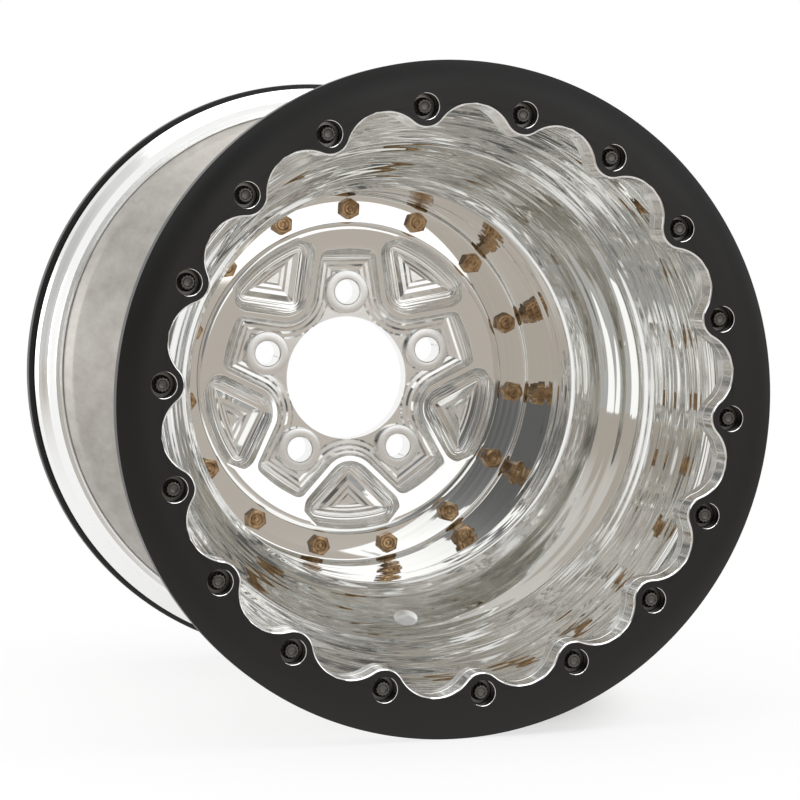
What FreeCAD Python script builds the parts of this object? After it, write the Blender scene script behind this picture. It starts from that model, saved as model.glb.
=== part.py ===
import FreeCAD, Part
import math
import os
import re
import Sketcher

# A bare 15 x 14 inch drag racing wheel: two spun rim halves and a machined centre, bolted together
# through three flanges, with a bead-lock ring on each end.
# Millimetres and degrees. The spin axis is Y, the street side faces -Y, one lug is straight up at +Z,
# and the origin is the middle of the wheel.
# "Depth" is measured inwards from the outside face of the bead-lock ring at that end of the wheel.
SIZES = {
    # Whole wheel
    "overall_width": 384.5,
    "backspacing": 101.1,
    # Bead-lock rings
    "ring_radius": 208.6,
    "ring_thickness": 15.0,
    "ring_crown_width": 18.6,
    "ring_crown_drop": 4.0,
    "ring_edge_setback": 1.0,
    "ring_edge_wall": 4.6,
    "bead_pocket_depth": 6.0,
    "bead_seat_inset": 18.1,
    # Scallops and bolts that the rings and the bead flanges share
    "ring_bolt_count": 18,
    "ring_bolt_inset": 27.6,
    "ring_bolt_turn": 5.1,
    "lobe_radius": 13.0,
    "valley_rise": 1.0,
    "counterbore_radius": 8.0,
    "counterbore_floor_wall": 5.5,
    "ring_bolt_radius": 3.175,
    "ring_bolt_clearance": 0.25,
    "thread_clearance": 0.05,
    "ring_bolt_flange_radius": 5.7,
    "ring_bolt_flange_height": 1.6,
    "ring_bolt_head_flats": 7.94,
    "ring_bolt_head_height": 4.7,
    "ring_bolt_tip_gap": 1.5,
    # Bead flanges
    "bead_flange_thickness": 10.0,
    "shoulder_inset": 3.5,
    "shoulder_setback": 2.0,
    "shoulder_edge": 3.0,
    "shoulder_bevel": 2.2,
    "hump_wall": 8.3,
    "hump_run": 2.0,
    "taper_wall": 4.3,
    "taper_run": 10.0,
    "skirt_wall": 1.2,
    "skirt_run": 4.0,
    # Rim halves. A share is how far a bend stands out, from 0 at the root to 1 at the mouth.
    "barrel_inset": 20.4,
    "rim_wall": 5.0,
    "mouth_bend_gap": 1.0,
    "lip_share": 0.892,
    "lip_depth": 60.0,
    "step_share": 0.599,
    "step_depth": 113.0,
    "neck_share": 0.178,
    "neck_depth": 149.0,
    "drop_share": 0.0495,
    "drop_run": 18.0,
    "outer_bend_round": 7.0,
    "root_round": 2.2,
    "valve_hole_radius": 7.9,
    "valve_hole_turn": 178.9,
    "inner_lip_share": 0.905,
    "inner_lip_depth": 49.5,
    "inner_root_share": 0.0806,
    "inner_root_depth": 88.5,
    "inner_drop_depth": 96.5,
    "cone_wall": 3.0,
    "cone_wall_shift": 3.4,
    "inner_bend_round": 6.0,
    # Bolted joint of the two halves and the centre
    "joint_setback": 3.4,
    "rim_flange_wall": 6.0,
    "joint_bolt_count": 15,
    "joint_bolt_circle": 118.0,
    "joint_outer_edge": 10.6,
    "joint_inner_edge": 9.0,
    "pilot_clearance": 0.2,
    "joint_bolt_radius": 3.95,
    "joint_bolt_clearance": 0.2,
    "joint_bolt_head_flats": 12.7,
    "joint_bolt_head_height": 5.6,
    "joint_bolt_tail": 2.5,
    "washer_radius": 7.9,
    "washer_thickness": 1.6,
    "nut_flats": 12.7,
    "nut_height": 6.8,
    "sealant_width": 20.0,
    "sealant_thickness": 2.0,
    "sealant_slope": 3.0,
    # Wheel centre
    "centre_flange_wall": 10.0,
    "centre_flange_step": 0.2,
    "pilot_rise": 1.0,
    "pilot_bevel": 1.0,
    "dish_margin": 3.8,
    "dish_depth": 7.8,
    "crest_gap": 11.05,
    "channel_width": 8.15,
    "channel_depth": 11.0,
    "bore_radius": 42.95,
    "pad_edge": 19.675,
    "pad_height": 2.4,
    "pad_bevel": 2.0,
    "lug_count": 5,
    "lug_circle": 60.325,
    "lug_hole_radius": 8.73,
    "lug_boss_radius": 15.1,
    "lug_boss_depth": 7.0,
    "lug_pocket_depth": 11.0,
    "lug_pocket_run": 23.675,
    "lug_pocket_side_gap": 0.8,
    "lug_pocket_flare": 8.7,
    "lug_pocket_draft": 34.0,
    "web_pocket_depth": 11.0,
    "web_pocket_margin": 10.6,
    "web_pocket_gap": 20.05,
    "web_pocket_half_angle": 44.6,
    "web_pocket_draft": 42.0,
    "pocket_corner": 0.6,
    "cutter_lift": 3.0,
    "terrace_pitch": 3.4,
    "terrace_step": 0.5,
    "web_terrace_count": 3,
    "lug_terrace_count": 2,
}

# Sizes that follow from those in the sheet
FOLLOWING = {
    "ring_crown_start": "ring_radius - ring_crown_width",
    "ring_edge_depth": "ring_thickness - ring_edge_setback",
    "bead_pocket_radius": "ring_radius - ring_edge_wall",
    "bead_pocket_floor": "ring_thickness - bead_pocket_depth",
    "bead_seat_radius": "ring_radius - bead_seat_inset",
    "ring_bolt_circle": "ring_radius - ring_bolt_inset",
    "lobe_tip": "ring_bolt_circle - lobe_radius",
    "valley_radius": "ring_bolt_circle + valley_rise",
    "counterbore_depth": "ring_thickness - counterbore_floor_wall",
    "flange_back": "ring_thickness + bead_flange_thickness",
    "shoulder_radius": "ring_radius - shoulder_inset",
    "barrel_radius": "ring_radius - barrel_inset",
    "hump_radius": "barrel_radius + hump_wall",
    "hump_depth": "flange_back + hump_run",
    "taper_radius": "barrel_radius + taper_wall",
    "taper_depth": "hump_depth + taper_run",
    "skirt_radius": "barrel_radius + skirt_wall",
    "skirt_depth": "taper_depth + skirt_run",
    "mouth_radius": "barrel_radius - rim_wall",
    "mouth_bend_depth": "skirt_depth + mouth_bend_gap",
    "root_radius": "joint_bolt_circle + joint_outer_edge",
    "lip_radius": "root_radius + lip_share * (mouth_radius - root_radius)",
    "step_radius": "root_radius + step_share * (mouth_radius - root_radius)",
    "neck_radius": "root_radius + neck_share * (mouth_radius - root_radius)",
    "drop_radius": "root_radius + drop_share * (mouth_radius - root_radius)",
    "drop_depth": "neck_depth + drop_run",
    "inner_lip_radius": "root_radius + rim_wall + inner_lip_share * (mouth_radius - root_radius)",
    "inner_root_radius": "root_radius + rim_wall + inner_root_share * (mouth_radius - root_radius)",
    "hub_face": "overall_width - backspacing",
    "web_back": "hub_face - pad_height",
    "joint_back": "hub_face - joint_setback",
    "centre_back": "joint_back - rim_flange_wall",
    "centre_front": "centre_back - centre_flange_wall",
    "joint_front": "centre_front - rim_flange_wall",
    "centre_face": "joint_front - pilot_rise",
    "rim_flange_bore": "joint_bolt_circle - joint_inner_edge",
    "pilot_radius": "rim_flange_bore - pilot_clearance",
    "dish_radius": "rim_flange_bore - dish_margin",
    "crest_radius": "bore_radius + crest_gap",
    "channel_radius": "bore_radius + channel_width",
    "pad_radius": "lug_circle + pad_edge",
    "lug_pocket_reach": "lug_circle + lug_pocket_run",
    "lug_pocket_half_width": "lug_boss_radius + lug_pocket_side_gap",
    "web_pocket_reach": "dish_radius - web_pocket_margin",
    "web_pocket_apex": "bore_radius + web_pocket_gap",
}

HEX_SIDES = 6
HEX_STEP = 30
LEFT = 1
RIGHT = -1

doc = FreeCAD.newDocument("DragWheel")
sheet = doc.addObject("Spreadsheet::Sheet", "Sizes")
for row, (alias, value) in enumerate(SIZES.items(), start=1):
    sheet.set(f"A{row}", alias.replace("_", " "))
    sheet.set(f"B{row}", str(value))
    sheet.setAlias(f"B{row}", alias)
doc.recompute()


def bound(text):
    """An expression written in the names above, as the document's objects read it."""
    def cell(word):
        name = word.group()
        if name in FOLLOWING:
            return f"({bound(FOLLOWING[name])})"
        return f"Sizes.{name}" if name in SIZES else name
    return re.sub(r"[a-z]\w*", cell, text)


def number(text):
    """The present value of an expression."""
    return float(sheet.evalExpression(bound(text)))


def axial(depth):
    """Y of a depth from the street-side face."""
    return f"({depth}) - overall_width / 2"


def start_body(label):
    body = doc.addObject("PartDesign::Body", label)
    body.Label = label
    return body


def origin_feature(body, role):
    return next(item for item in body.Origin.OriginFeatures if item.Role == role)


def new_sketch(body, name, role, lift=None, turn=None):
    """A sketch on one of the body's own planes, lifted along its normal and turned about it."""
    sketch = body.newObject("Sketcher::SketchObject", name)
    sketch.AttachmentSupport = [(origin_feature(body, role), "")]
    sketch.MapMode = "FlatFace"
    if lift is not None:
        sketch.setExpression("AttachmentOffset.Base.z", bound(lift))
    if turn is not None:
        sketch.AttachmentOffset = FreeCAD.Placement(
            FreeCAD.Vector(0, 0, 0), FreeCAD.Rotation(FreeCAD.Vector(0, 0, 1), number(turn)))
        sketch.setExpression("AttachmentOffset.Rotation.Angle", bound(turn))
    return sketch


def face_sketch(body, name, depth, turn=None):
    """A sketch square to the spin axis, at a depth from the street-side face; its normal is -Y."""
    return new_sketch(body, name, "XZ_Plane", lift=f"-({axial(depth)})", turn=turn)


def hold(sketch, kind, geometry, point, text):
    """Ties one coordinate of a point to an expression."""
    index = sketch.addConstraint(Sketcher.Constraint(kind, -1, 1, geometry, point, number(text)))
    sketch.setExpression(f"Constraints[{index}]", bound(text))


def hold_radius(sketch, geometry, text):
    index = sketch.addConstraint(Sketcher.Constraint("Radius", geometry, number(text)))
    sketch.setExpression(f"Constraints[{index}]", bound(text))


def arc_between(start, end, radius, side):
    """The short arc from start to end, with its centre on the given side of the way between them."""
    chord = end - start
    half = chord.Length / 2
    across = FreeCAD.Vector(-chord.y, chord.x, 0).normalize() * side
    sagitta = radius - math.sqrt(max(radius ** 2 - half ** 2, 0))
    return Part.Arc(start, (start + end) * 0.5 - across * sagitta, end)


def outline(sketch, corners):
    """A closed outline. A corner is (x, y), or (x, y, radius, side) where an arc leads on from it."""
    places = [FreeCAD.Vector(number(corner[0]), number(corner[1]), 0) for corner in corners]
    first = sketch.GeometryCount
    ends = []
    for index, corner in enumerate(corners):
        start = places[index]
        end = places[(index + 1) % len(corners)]
        if len(corner) == 2:
            sketch.addGeometry(Part.LineSegment(start, end))
            ends.append((1, 2))
        else:
            arc = arc_between(start, end, number(corner[2]), corner[3])
            sketch.addGeometry(arc)
            ends.append((1, 2) if corner[3] == LEFT else (2, 1))
    for index, corner in enumerate(corners):
        after = (index + 1) % len(corners)
        meeting = (first + index, ends[index][1], first + after, ends[after][0])
        sketch.addConstraint(Sketcher.Constraint("Coincident", *meeting))
        hold(sketch, "DistanceX", first + index, ends[index][0], corner[0])
        hold(sketch, "DistanceY", first + index, ends[index][0], corner[1])
        if len(corner) > 2:
            hold_radius(sketch, first + index, corner[2])


def circle(sketch, x, y, radius):
    centre = FreeCAD.Vector(number(x), number(y), 0)
    index = sketch.addGeometry(Part.Circle(centre, FreeCAD.Vector(0, 0, 1), number(radius)))
    hold(sketch, "DistanceX", index, 3, x)
    hold(sketch, "DistanceY", index, 3, y)
    hold_radius(sketch, index, radius)


def revolve(body, name, corners):
    """A turned solid: corners are (y, radius) pairs, spun about the wheel's axis."""
    sketch = new_sketch(body, f"{name}_profile", "YZ_Plane")
    outline(sketch, corners)
    feature = body.newObject("PartDesign::Revolution", name)
    feature.Profile = sketch
    feature.ReferenceAxis = (sketch, ["H_Axis"])
    feature.Angle = 360
    doc.recompute()
    return feature


def turn_about(body, kind, name, corners, axis_start, axis_end, turn=None):
    """A revolved boss or groove about a line of its own in the plane through the wheel's axis."""
    sketch = new_sketch(body, f"{name}_profile", "YZ_Plane")
    if turn is not None:
        spin = FreeCAD.Rotation(FreeCAD.Vector(1, 0, 0), number(turn))
        sketch.AttachmentOffset = FreeCAD.Placement(FreeCAD.Vector(0, 0, 0), spin)
        sketch.setExpression("AttachmentOffset.Rotation.Angle", bound(turn))
    points = [FreeCAD.Vector(number(x), number(y), 0) for x, y in (axis_start, axis_end)]
    line = sketch.addGeometry(Part.LineSegment(*points), True)
    for point, (x, y) in ((1, axis_start), (2, axis_end)):
        hold(sketch, "DistanceX", line, point, x)
        hold(sketch, "DistanceY", line, point, y)
    outline(sketch, corners)
    feature = body.newObject(f"PartDesign::{kind}", name)
    feature.Profile = sketch
    feature.ReferenceAxis = (sketch, ["Axis0"])
    feature.Angle = 360
    doc.recompute()
    return feature


def pad(body, name, sketch, length, towards_back=False):
    feature = body.newObject("PartDesign::Pad", name)
    feature.Profile = sketch
    feature.setExpression("Length", bound(length))
    feature.Reversed = towards_back
    doc.recompute()
    return feature


def cut_through(body, name, sketch):
    feature = body.newObject("PartDesign::Pocket", name)
    feature.Profile = sketch
    feature.Type = "ThroughAll"
    feature.Midplane = True
    doc.recompute()
    return feature


def cut_deep(body, name, sketch, depth):
    """A pocket that goes from its sketch towards the back of the wheel."""
    feature = body.newObject("PartDesign::Pocket", name)
    feature.Profile = sketch
    feature.setExpression("Length", bound(depth))
    doc.recompute()
    return feature


def cut_loft(body, name, mouth, floor):
    feature = body.newObject("PartDesign::SubtractiveLoft", name)
    feature.Profile = mouth
    feature.Sections = [floor]
    feature.Ruled = True
    doc.recompute()
    return feature


def around(body, name, features, count):
    """Copies features evenly about the wheel's axis."""
    pattern = body.newObject("PartDesign::PolarPattern", name)
    pattern.Originals = features
    pattern.Axis = (origin_feature(body, "Y_Axis"), [""])
    pattern.Angle = 360
    pattern.setExpression("Occurrences", bound(count))
    body.Tip = pattern
    doc.recompute()
    return pattern


def round_circles(body, name, places, radius):
    """Rounds the circular edges that run about the wheel's axis at the given (y, radius) places."""
    wanted = [(number(y), number(r)) for y, r in places]
    base = body.Tip
    names = []
    for index, edge in enumerate(base.Shape.Edges, start=1):
        curve = edge.Curve
        if not isinstance(curve, Part.Circle):
            continue
        if math.hypot(curve.Center.x, curve.Center.z) > 1e-4:
            continue
        if any(abs(curve.Center.y - y) < 1e-3 and abs(curve.Radius - r) < 1e-3 for y, r in wanted):
            names.append(f"Edge{index}")
    feature = body.newObject("PartDesign::Fillet", name)
    feature.Base = (base, names)
    feature.setExpression("Radius", bound(radius))
    body.Tip = feature
    doc.recompute()
    return feature


def spun(body, turn, at_back=False):
    """Turns a body about the wheel's axis and, for the back end, swaps it end for end."""
    phase = FreeCAD.Rotation(FreeCAD.Vector(0, 1, 0), -number(turn))
    swap = FreeCAD.Rotation(FreeCAD.Vector(0, 0, 1), 180 if at_back else 0)
    body.Placement = FreeCAD.Placement(FreeCAD.Vector(0, 0, 0), swap.multiply(phase))


def hexagon(x, y, flats, turn):
    """Corners of a hexagon that measures flats from side to side."""
    reach = f"{flats} / (2 * cos(180 / {HEX_SIDES}))"
    return [(f"{x} + {reach} * cos({turn} + {k} * 360 / {HEX_SIDES})",
             f"{y} + {reach} * sin({turn} + {k} * 360 / {HEX_SIDES})") for k in range(HEX_SIDES)]


def cut_scallops(body):
    """Valleys between the bolt lobes. A valley's arc touches the lobes' arcs of its two neighbours."""
    half_step = "180 / ring_bolt_count"
    lobe_x = f"ring_bolt_circle * sin({half_step})"
    lobe_y = f"ring_bolt_circle * cos({half_step})"
    valley = ("(ring_bolt_circle ^ 2 + valley_radius ^ 2 - 2 * ring_bolt_circle * valley_radius"
              f" * cos({half_step}) - lobe_radius ^ 2)"
              f" / (2 * (lobe_radius + valley_radius - ring_bolt_circle * cos({half_step})))")
    share = f"(({valley}) / (({valley}) + lobe_radius))"
    touch_x = f"{lobe_x} * {share}"
    touch_y = f"(valley_radius - ({valley}) + ({lobe_y} - valley_radius + ({valley})) * {share})"
    tip_x = f"lobe_tip * sin({half_step})"
    tip_y = f"lobe_tip * cos({half_step})"
    sketch = face_sketch(body, "valley_outline", "ring_thickness", turn=half_step)
    outline(sketch, [
        (f"-({tip_x})", tip_y),
        (tip_x, tip_y, "lobe_radius", RIGHT),
        (touch_x, touch_y, valley, LEFT),
        (f"-({touch_x})", touch_y, "lobe_radius", RIGHT),
    ])
    valley_cut = cut_through(body, "valley", sketch)
    around(body, "valleys", [valley_cut], "ring_bolt_count")


def beadlock_ring(label, at_back):
    """Clamp ring: crowned face, scalloped bore, stepped bolt holes, and a pocket for the tyre's bead."""
    body = start_body(label)
    rise = "(ring_radius - ring_crown_start)"
    crown = f"({rise} ^ 2 + ring_crown_drop ^ 2) / (2 * ring_crown_drop)"
    revolve(body, "ring_blank", [
        (axial("0"), "lobe_tip"),
        (axial("0"), "ring_crown_start", crown, RIGHT),
        (axial("ring_crown_drop"), "ring_radius"),
        (axial("ring_edge_depth"), "ring_radius"),
        (axial("ring_edge_depth"), "bead_pocket_radius"),
        (axial("bead_pocket_floor"), "bead_pocket_radius"),
        (axial("bead_pocket_floor"), "bead_seat_radius"),
        (axial("ring_thickness"), "bead_seat_radius"),
        (axial("ring_thickness"), "lobe_tip"),
    ])
    cut_scallops(body)
    axis = [(axial("-cutter_lift"), "ring_bolt_circle"),
            (axial("ring_thickness + cutter_lift"), "ring_bolt_circle")]
    hole = "ring_bolt_circle + ring_bolt_radius + ring_bolt_clearance"
    counterbore = "ring_bolt_circle + counterbore_radius"
    step_hole = turn_about(body, "Groove", "bolt_hole", [
        axis[0],
        axis[1],
        (axis[1][0], hole),
        (axial("counterbore_depth"), hole),
        (axial("counterbore_depth"), counterbore),
        (axis[0][0], counterbore),
    ], *axis)
    around(body, "bolt_holes", [step_hole], "ring_bolt_count")
    spun(body, "ring_bolt_turn", at_back)
    return body


def ring_bolts(label, at_back):
    """Twelve-point flange bolts that sit on the counterbores' floors and reach into the bead flange."""
    body = start_body(label)
    seat = "counterbore_depth"
    axis = [(axial(f"{seat} - ring_bolt_flange_height"), "ring_bolt_circle"),
            (axial("flange_back - ring_bolt_tip_gap"), "ring_bolt_circle")]
    shank = turn_about(body, "Revolution", "shank", [
        axis[0],
        (axis[0][0], "ring_bolt_circle + ring_bolt_flange_radius"),
        (axial(seat), "ring_bolt_circle + ring_bolt_flange_radius"),
        (axial(seat), "ring_bolt_circle + ring_bolt_radius"),
        (axis[1][0], "ring_bolt_circle + ring_bolt_radius"),
        axis[1],
    ], *axis)
    heads = []
    for turn in (0, HEX_STEP):
        sketch = face_sketch(body, f"head_outline_{turn}", f"{seat} - ring_bolt_flange_height")
        outline(sketch, hexagon("0", "ring_bolt_circle", "ring_bolt_head_flats", turn))
        heads.append(pad(body, f"head_{turn}", sketch, "ring_bolt_head_height"))
    around(body, "bolts", [shank] + heads, "ring_bolt_count")
    spun(body, "ring_bolt_turn", at_back)
    return body


def bead_flange(label, at_back):
    """Flange welded to a rim half: scallops and tapped holes like the ring's, and the bead's shoulder."""
    body = start_body(label)
    shoulder = "ring_thickness + shoulder_setback"
    revolve(body, "flange_blank", [
        (axial("ring_thickness"), "lobe_tip"),
        (axial("ring_thickness"), "bead_seat_radius"),
        (axial(shoulder), "bead_seat_radius"),
        (axial(shoulder), "shoulder_radius"),
        (axial(f"{shoulder} + shoulder_edge"), "shoulder_radius"),
        (axial(f"{shoulder} + shoulder_edge + shoulder_bevel"), "shoulder_radius - shoulder_bevel"),
        (axial("hump_depth"), "hump_radius"),
        (axial("taper_depth"), "taper_radius"),
        (axial("taper_depth"), "skirt_radius"),
        (axial("skirt_depth"), "skirt_radius"),
        (axial("skirt_depth"), "barrel_radius"),
        (axial("flange_back"), "barrel_radius"),
        (axial("flange_back"), "lobe_tip"),
    ])
    cut_scallops(body)
    sketch = face_sketch(body, "tapped_hole_outline", "ring_thickness")
    circle(sketch, "0", "ring_bolt_circle", "ring_bolt_radius + thread_clearance")
    around(body, "tapped_holes", [cut_through(body, "tapped_hole", sketch)], "ring_bolt_count")
    spun(body, "ring_bolt_turn", at_back)
    return body


def joint_holes(body):
    """Clearance holes for the bolts that hold the two halves and the centre together."""
    sketch = face_sketch(body, "joint_hole_outline", "centre_front")
    circle(sketch, "0", "joint_bolt_circle", "joint_bolt_radius + joint_bolt_clearance")
    around(body, "joint_holes", [cut_through(body, "joint_hole", sketch)], "joint_bolt_count")


def outer_rim_half():
    """Deep street-side half of the barrel, spun from sheet, with mouth, lip, step, neck, drop and flange."""
    body = start_body("outer_rim_half")
    bends = [
        ("mouth_bend_depth", "mouth_radius"),
        ("lip_depth", "lip_radius"),
        ("step_depth", "step_radius"),
        ("neck_depth", "neck_radius"),
        ("drop_depth", "drop_radius"),
    ]
    inside = [(axial(depth), radius) for depth, radius in bends]
    outside = [(y, f"{radius} + rim_wall") for y, radius in inside]
    straight = (axial("joint_front - sealant_width / 2"), "root_radius + rim_wall")
    revolve(body, "spun_shell", [
        (axial("flange_back"), "mouth_radius"),
        *inside,
        (axial("joint_front"), "root_radius"),
        (axial("joint_front"), "rim_flange_bore"),
        (axial("centre_front"), "rim_flange_bore"),
        (axial("centre_front"), "root_radius + rim_wall"),
        straight,
        *reversed(outside),
        (axial("flange_back"), "barrel_radius"),
    ])
    round_circles(body, "bends", inside[1:] + outside[1:], "outer_bend_round")
    round_circles(body, "root", [(axial("joint_front"), "root_radius")], "root_round")
    joint_holes(body)
    valve_hole(body)
    return body


def valve_hole(body):
    """A hole square to the sloping wall between the step and the neck."""
    middle_y = axial("(step_depth + neck_depth) / 2")
    middle_r = "(step_radius + neck_radius + rim_wall) / 2"
    run = "(neck_depth - step_depth)"
    fall = "(step_radius - neck_radius)"
    slope = f"sqrt({run} ^ 2 + {fall} ^ 2)"
    reach = "2 * rim_wall"

    def place(along, across):
        """A point so far along the wall, and so far square to it."""
        return (f"{middle_y} + (({along}) * {run} + ({across}) * {fall}) / {slope}",
                f"{middle_r} + (({across}) * {run} - ({along}) * {fall}) / {slope}")

    low = place("0", f"-({reach})")
    high = place("0", reach)
    turn_about(body, "Groove", "valve_hole", [
        low,
        high,
        place("valve_hole_radius", reach),
        place("valve_hole_radius", f"-({reach})"),
    ], low, high, turn="valve_hole_turn")


def inner_rim_half():
    """Short back half of the barrel: bolt flange, drop, steep cone and mouth."""
    body = start_body("inner_rim_half")

    def back(depth):
        return f"overall_width / 2 - ({depth})"

    outer_cone = [(back("inner_lip_depth"), "inner_lip_radius"),
                  (back("inner_root_depth"), "inner_root_radius")]
    inner_cone = [(f"{y} + cone_wall_shift", f"{radius} - cone_wall") for y, radius in outer_cone]
    mouth_outside = (back("mouth_bend_depth"), "barrel_radius")
    mouth_inside = (f"{back('mouth_bend_depth')} + cone_wall_shift / 2", "mouth_radius")
    drop_outside = (back("inner_drop_depth"), "root_radius + rim_wall")
    drop_inside = (f"{back('inner_drop_depth')} + cone_wall_shift / 2", "root_radius")
    revolve(body, "spun_shell", [
        (axial("centre_back"), "rim_flange_bore"),
        (axial("centre_back"), "root_radius + rim_wall"),
        drop_outside,
        outer_cone[1],
        outer_cone[0],
        mouth_outside,
        (back("flange_back"), "barrel_radius"),
        (back("flange_back"), "mouth_radius"),
        mouth_inside,
        inner_cone[0],
        inner_cone[1],
        drop_inside,
        (axial("joint_back"), "root_radius"),
        (axial("joint_back"), "rim_flange_bore"),
    ])
    round_circles(body, "bends", outer_cone + inner_cone, "inner_bend_round")
    joint_holes(body)
    return body


def web_pocket_outline(sketch, grow):
    """Three-sided pocket between two lugs, grown from its floor with round corners."""
    slant = "tan(web_pocket_half_angle)"
    root = f"sqrt(web_pocket_reach ^ 2 * (1 + {slant} ^ 2) - web_pocket_apex ^ 2 * {slant} ^ 2)"
    corner_y = f"((web_pocket_apex * {slant} ^ 2 + {root}) / (1 + {slant} ^ 2))"
    corner_x = f"(({corner_y} - web_pocket_apex) * {slant})"
    side_x = f"({grow}) * cos(web_pocket_half_angle)"
    side_y = f"({grow}) * sin(web_pocket_half_angle)"
    rim = f"(1 + ({grow}) / web_pocket_reach)"
    outline(sketch, [
        (side_x, f"web_pocket_apex - {side_y}"),
        (f"{corner_x} + {side_x}", f"{corner_y} - {side_y}", grow, LEFT),
        (f"{corner_x} * {rim}", f"{corner_y} * {rim}", f"web_pocket_reach + ({grow})", LEFT),
        (f"-{corner_x} * {rim}", f"{corner_y} * {rim}", grow, LEFT),
        (f"-({corner_x} + {side_x})", f"{corner_y} - {side_y}"),
        (f"-({side_x})", f"web_pocket_apex - {side_y}", grow, LEFT),
    ])


def web_terrace_outline(sketch, inset):
    """The same three sides, sharp-cornered, drawn in from the pocket's floor."""
    apex = f"(web_pocket_apex + ({inset}) / sin(web_pocket_half_angle))"
    reach = f"(web_pocket_reach - ({inset}))"
    slant = "tan(web_pocket_half_angle)"
    root = f"sqrt({reach} ^ 2 * (1 + {slant} ^ 2) - {apex} ^ 2 * {slant} ^ 2)"
    corner_y = f"(({apex} * {slant} ^ 2 + {root}) / (1 + {slant} ^ 2))"
    corner_x = f"(({corner_y} - {apex}) * {slant})"
    outline(sketch, [
        ("0", apex),
        (corner_x, corner_y, reach, LEFT),
        (f"-{corner_x}", corner_y),
    ])


def lug_pocket_outline(sketch, grow):
    """Pocket round a lug, wider towards the bore and open to it, grown from its floor with round corners."""
    inner_y = "bore_radius - lug_boss_radius"
    inner_x = (f"(lug_pocket_half_width + (lug_pocket_reach - ({inner_y})) * tan(lug_pocket_flare)"
               f" + ({grow}) / cos(lug_pocket_flare))")
    side_x = f"(lug_pocket_half_width + ({grow}) * cos(lug_pocket_flare))"
    side_y = f"lug_pocket_reach + ({grow}) * sin(lug_pocket_flare)"
    top_y = f"lug_pocket_reach + ({grow})"
    outline(sketch, [
        (f"-{inner_x}", inner_y),
        (inner_x, inner_y),
        (side_x, side_y, grow, LEFT),
        ("lug_pocket_half_width", top_y),
        ("-lug_pocket_half_width", top_y, grow, LEFT),
        (f"-{side_x}", side_y),
    ])


def lug_terrace_outline(sketch, inset):
    """The same outline, sharp-cornered, drawn in from the pocket's floor."""
    inner_y = "bore_radius - lug_boss_radius"
    reach = f"(lug_pocket_reach - ({inset}))"
    outer_x = f"(lug_pocket_half_width - ({inset}))"
    inner_x = f"({outer_x} + ({reach} - ({inner_y})) * tan(lug_pocket_flare))"
    outline(sketch, [
        (f"-{inner_x}", inner_y),
        (inner_x, inner_y),
        (outer_x, reach),
        (f"-{outer_x}", reach),
    ])


def drafted_pocket(body, name, draw_wall, draw_terrace, depth, draft, terraces, turn=None):
    """A pocket with sloping walls and a floor that steps down in narrowing terraces."""
    mouth = face_sketch(body, f"{name}_mouth", "centre_face - cutter_lift", turn)
    draw_wall(mouth, f"pocket_corner + ({depth} + cutter_lift) * tan({draft})")
    floor = face_sketch(body, f"{name}_floor", f"centre_face + {depth}", turn)
    draw_wall(floor, "pocket_corner")
    features = [cut_loft(body, f"{name}_walls", mouth, floor)]
    for step in range(1, terraces + 1):
        sketch = face_sketch(body, f"{name}_terrace_{step}", f"centre_face + {depth} - cutter_lift", turn)
        draw_terrace(sketch, f"{step} * terrace_pitch")
        deep = f"cutter_lift + {step} * terrace_step"
        features.append(cut_deep(body, f"{name}_step_{step}", sketch, deep))
    return features


def wheel_centre():
    """Machined centre: pilots for both halves, bolt flange, dished face with a channel round the bore,
    three-sided pockets and lug pockets with V-shaped ribs between them, lug bosses and hub pad."""
    body = start_body("wheel_centre")
    revolve(body, "turned_blank", [
        (axial("centre_face + channel_depth"), "bore_radius"),
        (axial("centre_face + channel_depth"), "channel_radius"),
        (axial("centre_face + dish_depth"), "crest_radius"),
        (axial("centre_face"), "dish_radius"),
        (axial("centre_face + pilot_bevel"), "pilot_radius"),
        (axial("centre_front"), "pilot_radius"),
        (axial("centre_front"), "root_radius + rim_wall - centre_flange_step"),
        (axial("centre_back"), "root_radius + rim_wall - centre_flange_step"),
        (axial("centre_back"), "pilot_radius"),
        (axial("web_back"), "pilot_radius"),
        (axial("web_back"), "pad_radius + pad_bevel"),
        (axial("hub_face"), "pad_radius"),
        (axial("hub_face"), "bore_radius"),
    ])
    half_step = "180 / lug_count"
    web_cuts = drafted_pocket(body, "web_pocket", web_pocket_outline, web_terrace_outline,
                              "web_pocket_depth", "web_pocket_draft", SIZES["web_terrace_count"], half_step)
    around(body, "web_pockets", web_cuts, "lug_count")
    lug_cuts = drafted_pocket(body, "lug_pocket", lug_pocket_outline, lug_terrace_outline,
                              "lug_pocket_depth", "lug_pocket_draft", SIZES["lug_terrace_count"])
    boss_foot = "lug_pocket_depth + (lug_terrace_count + 1) * terrace_step"
    sketch = face_sketch(body, "lug_boss_outline", f"centre_face + {boss_foot}")
    circle(sketch, "0", "lug_circle", "lug_boss_radius")
    boss = pad(body, "lug_boss", sketch, f"{boss_foot} - lug_boss_depth")
    sketch = face_sketch(body, "lug_hole_outline", "hub_face")
    circle(sketch, "0", "lug_circle", "lug_hole_radius")
    hole = cut_through(body, "lug_hole", sketch)
    around(body, "lugs", lug_cuts + [boss, hole], "lug_count")
    joint_holes(body)
    return body


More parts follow.
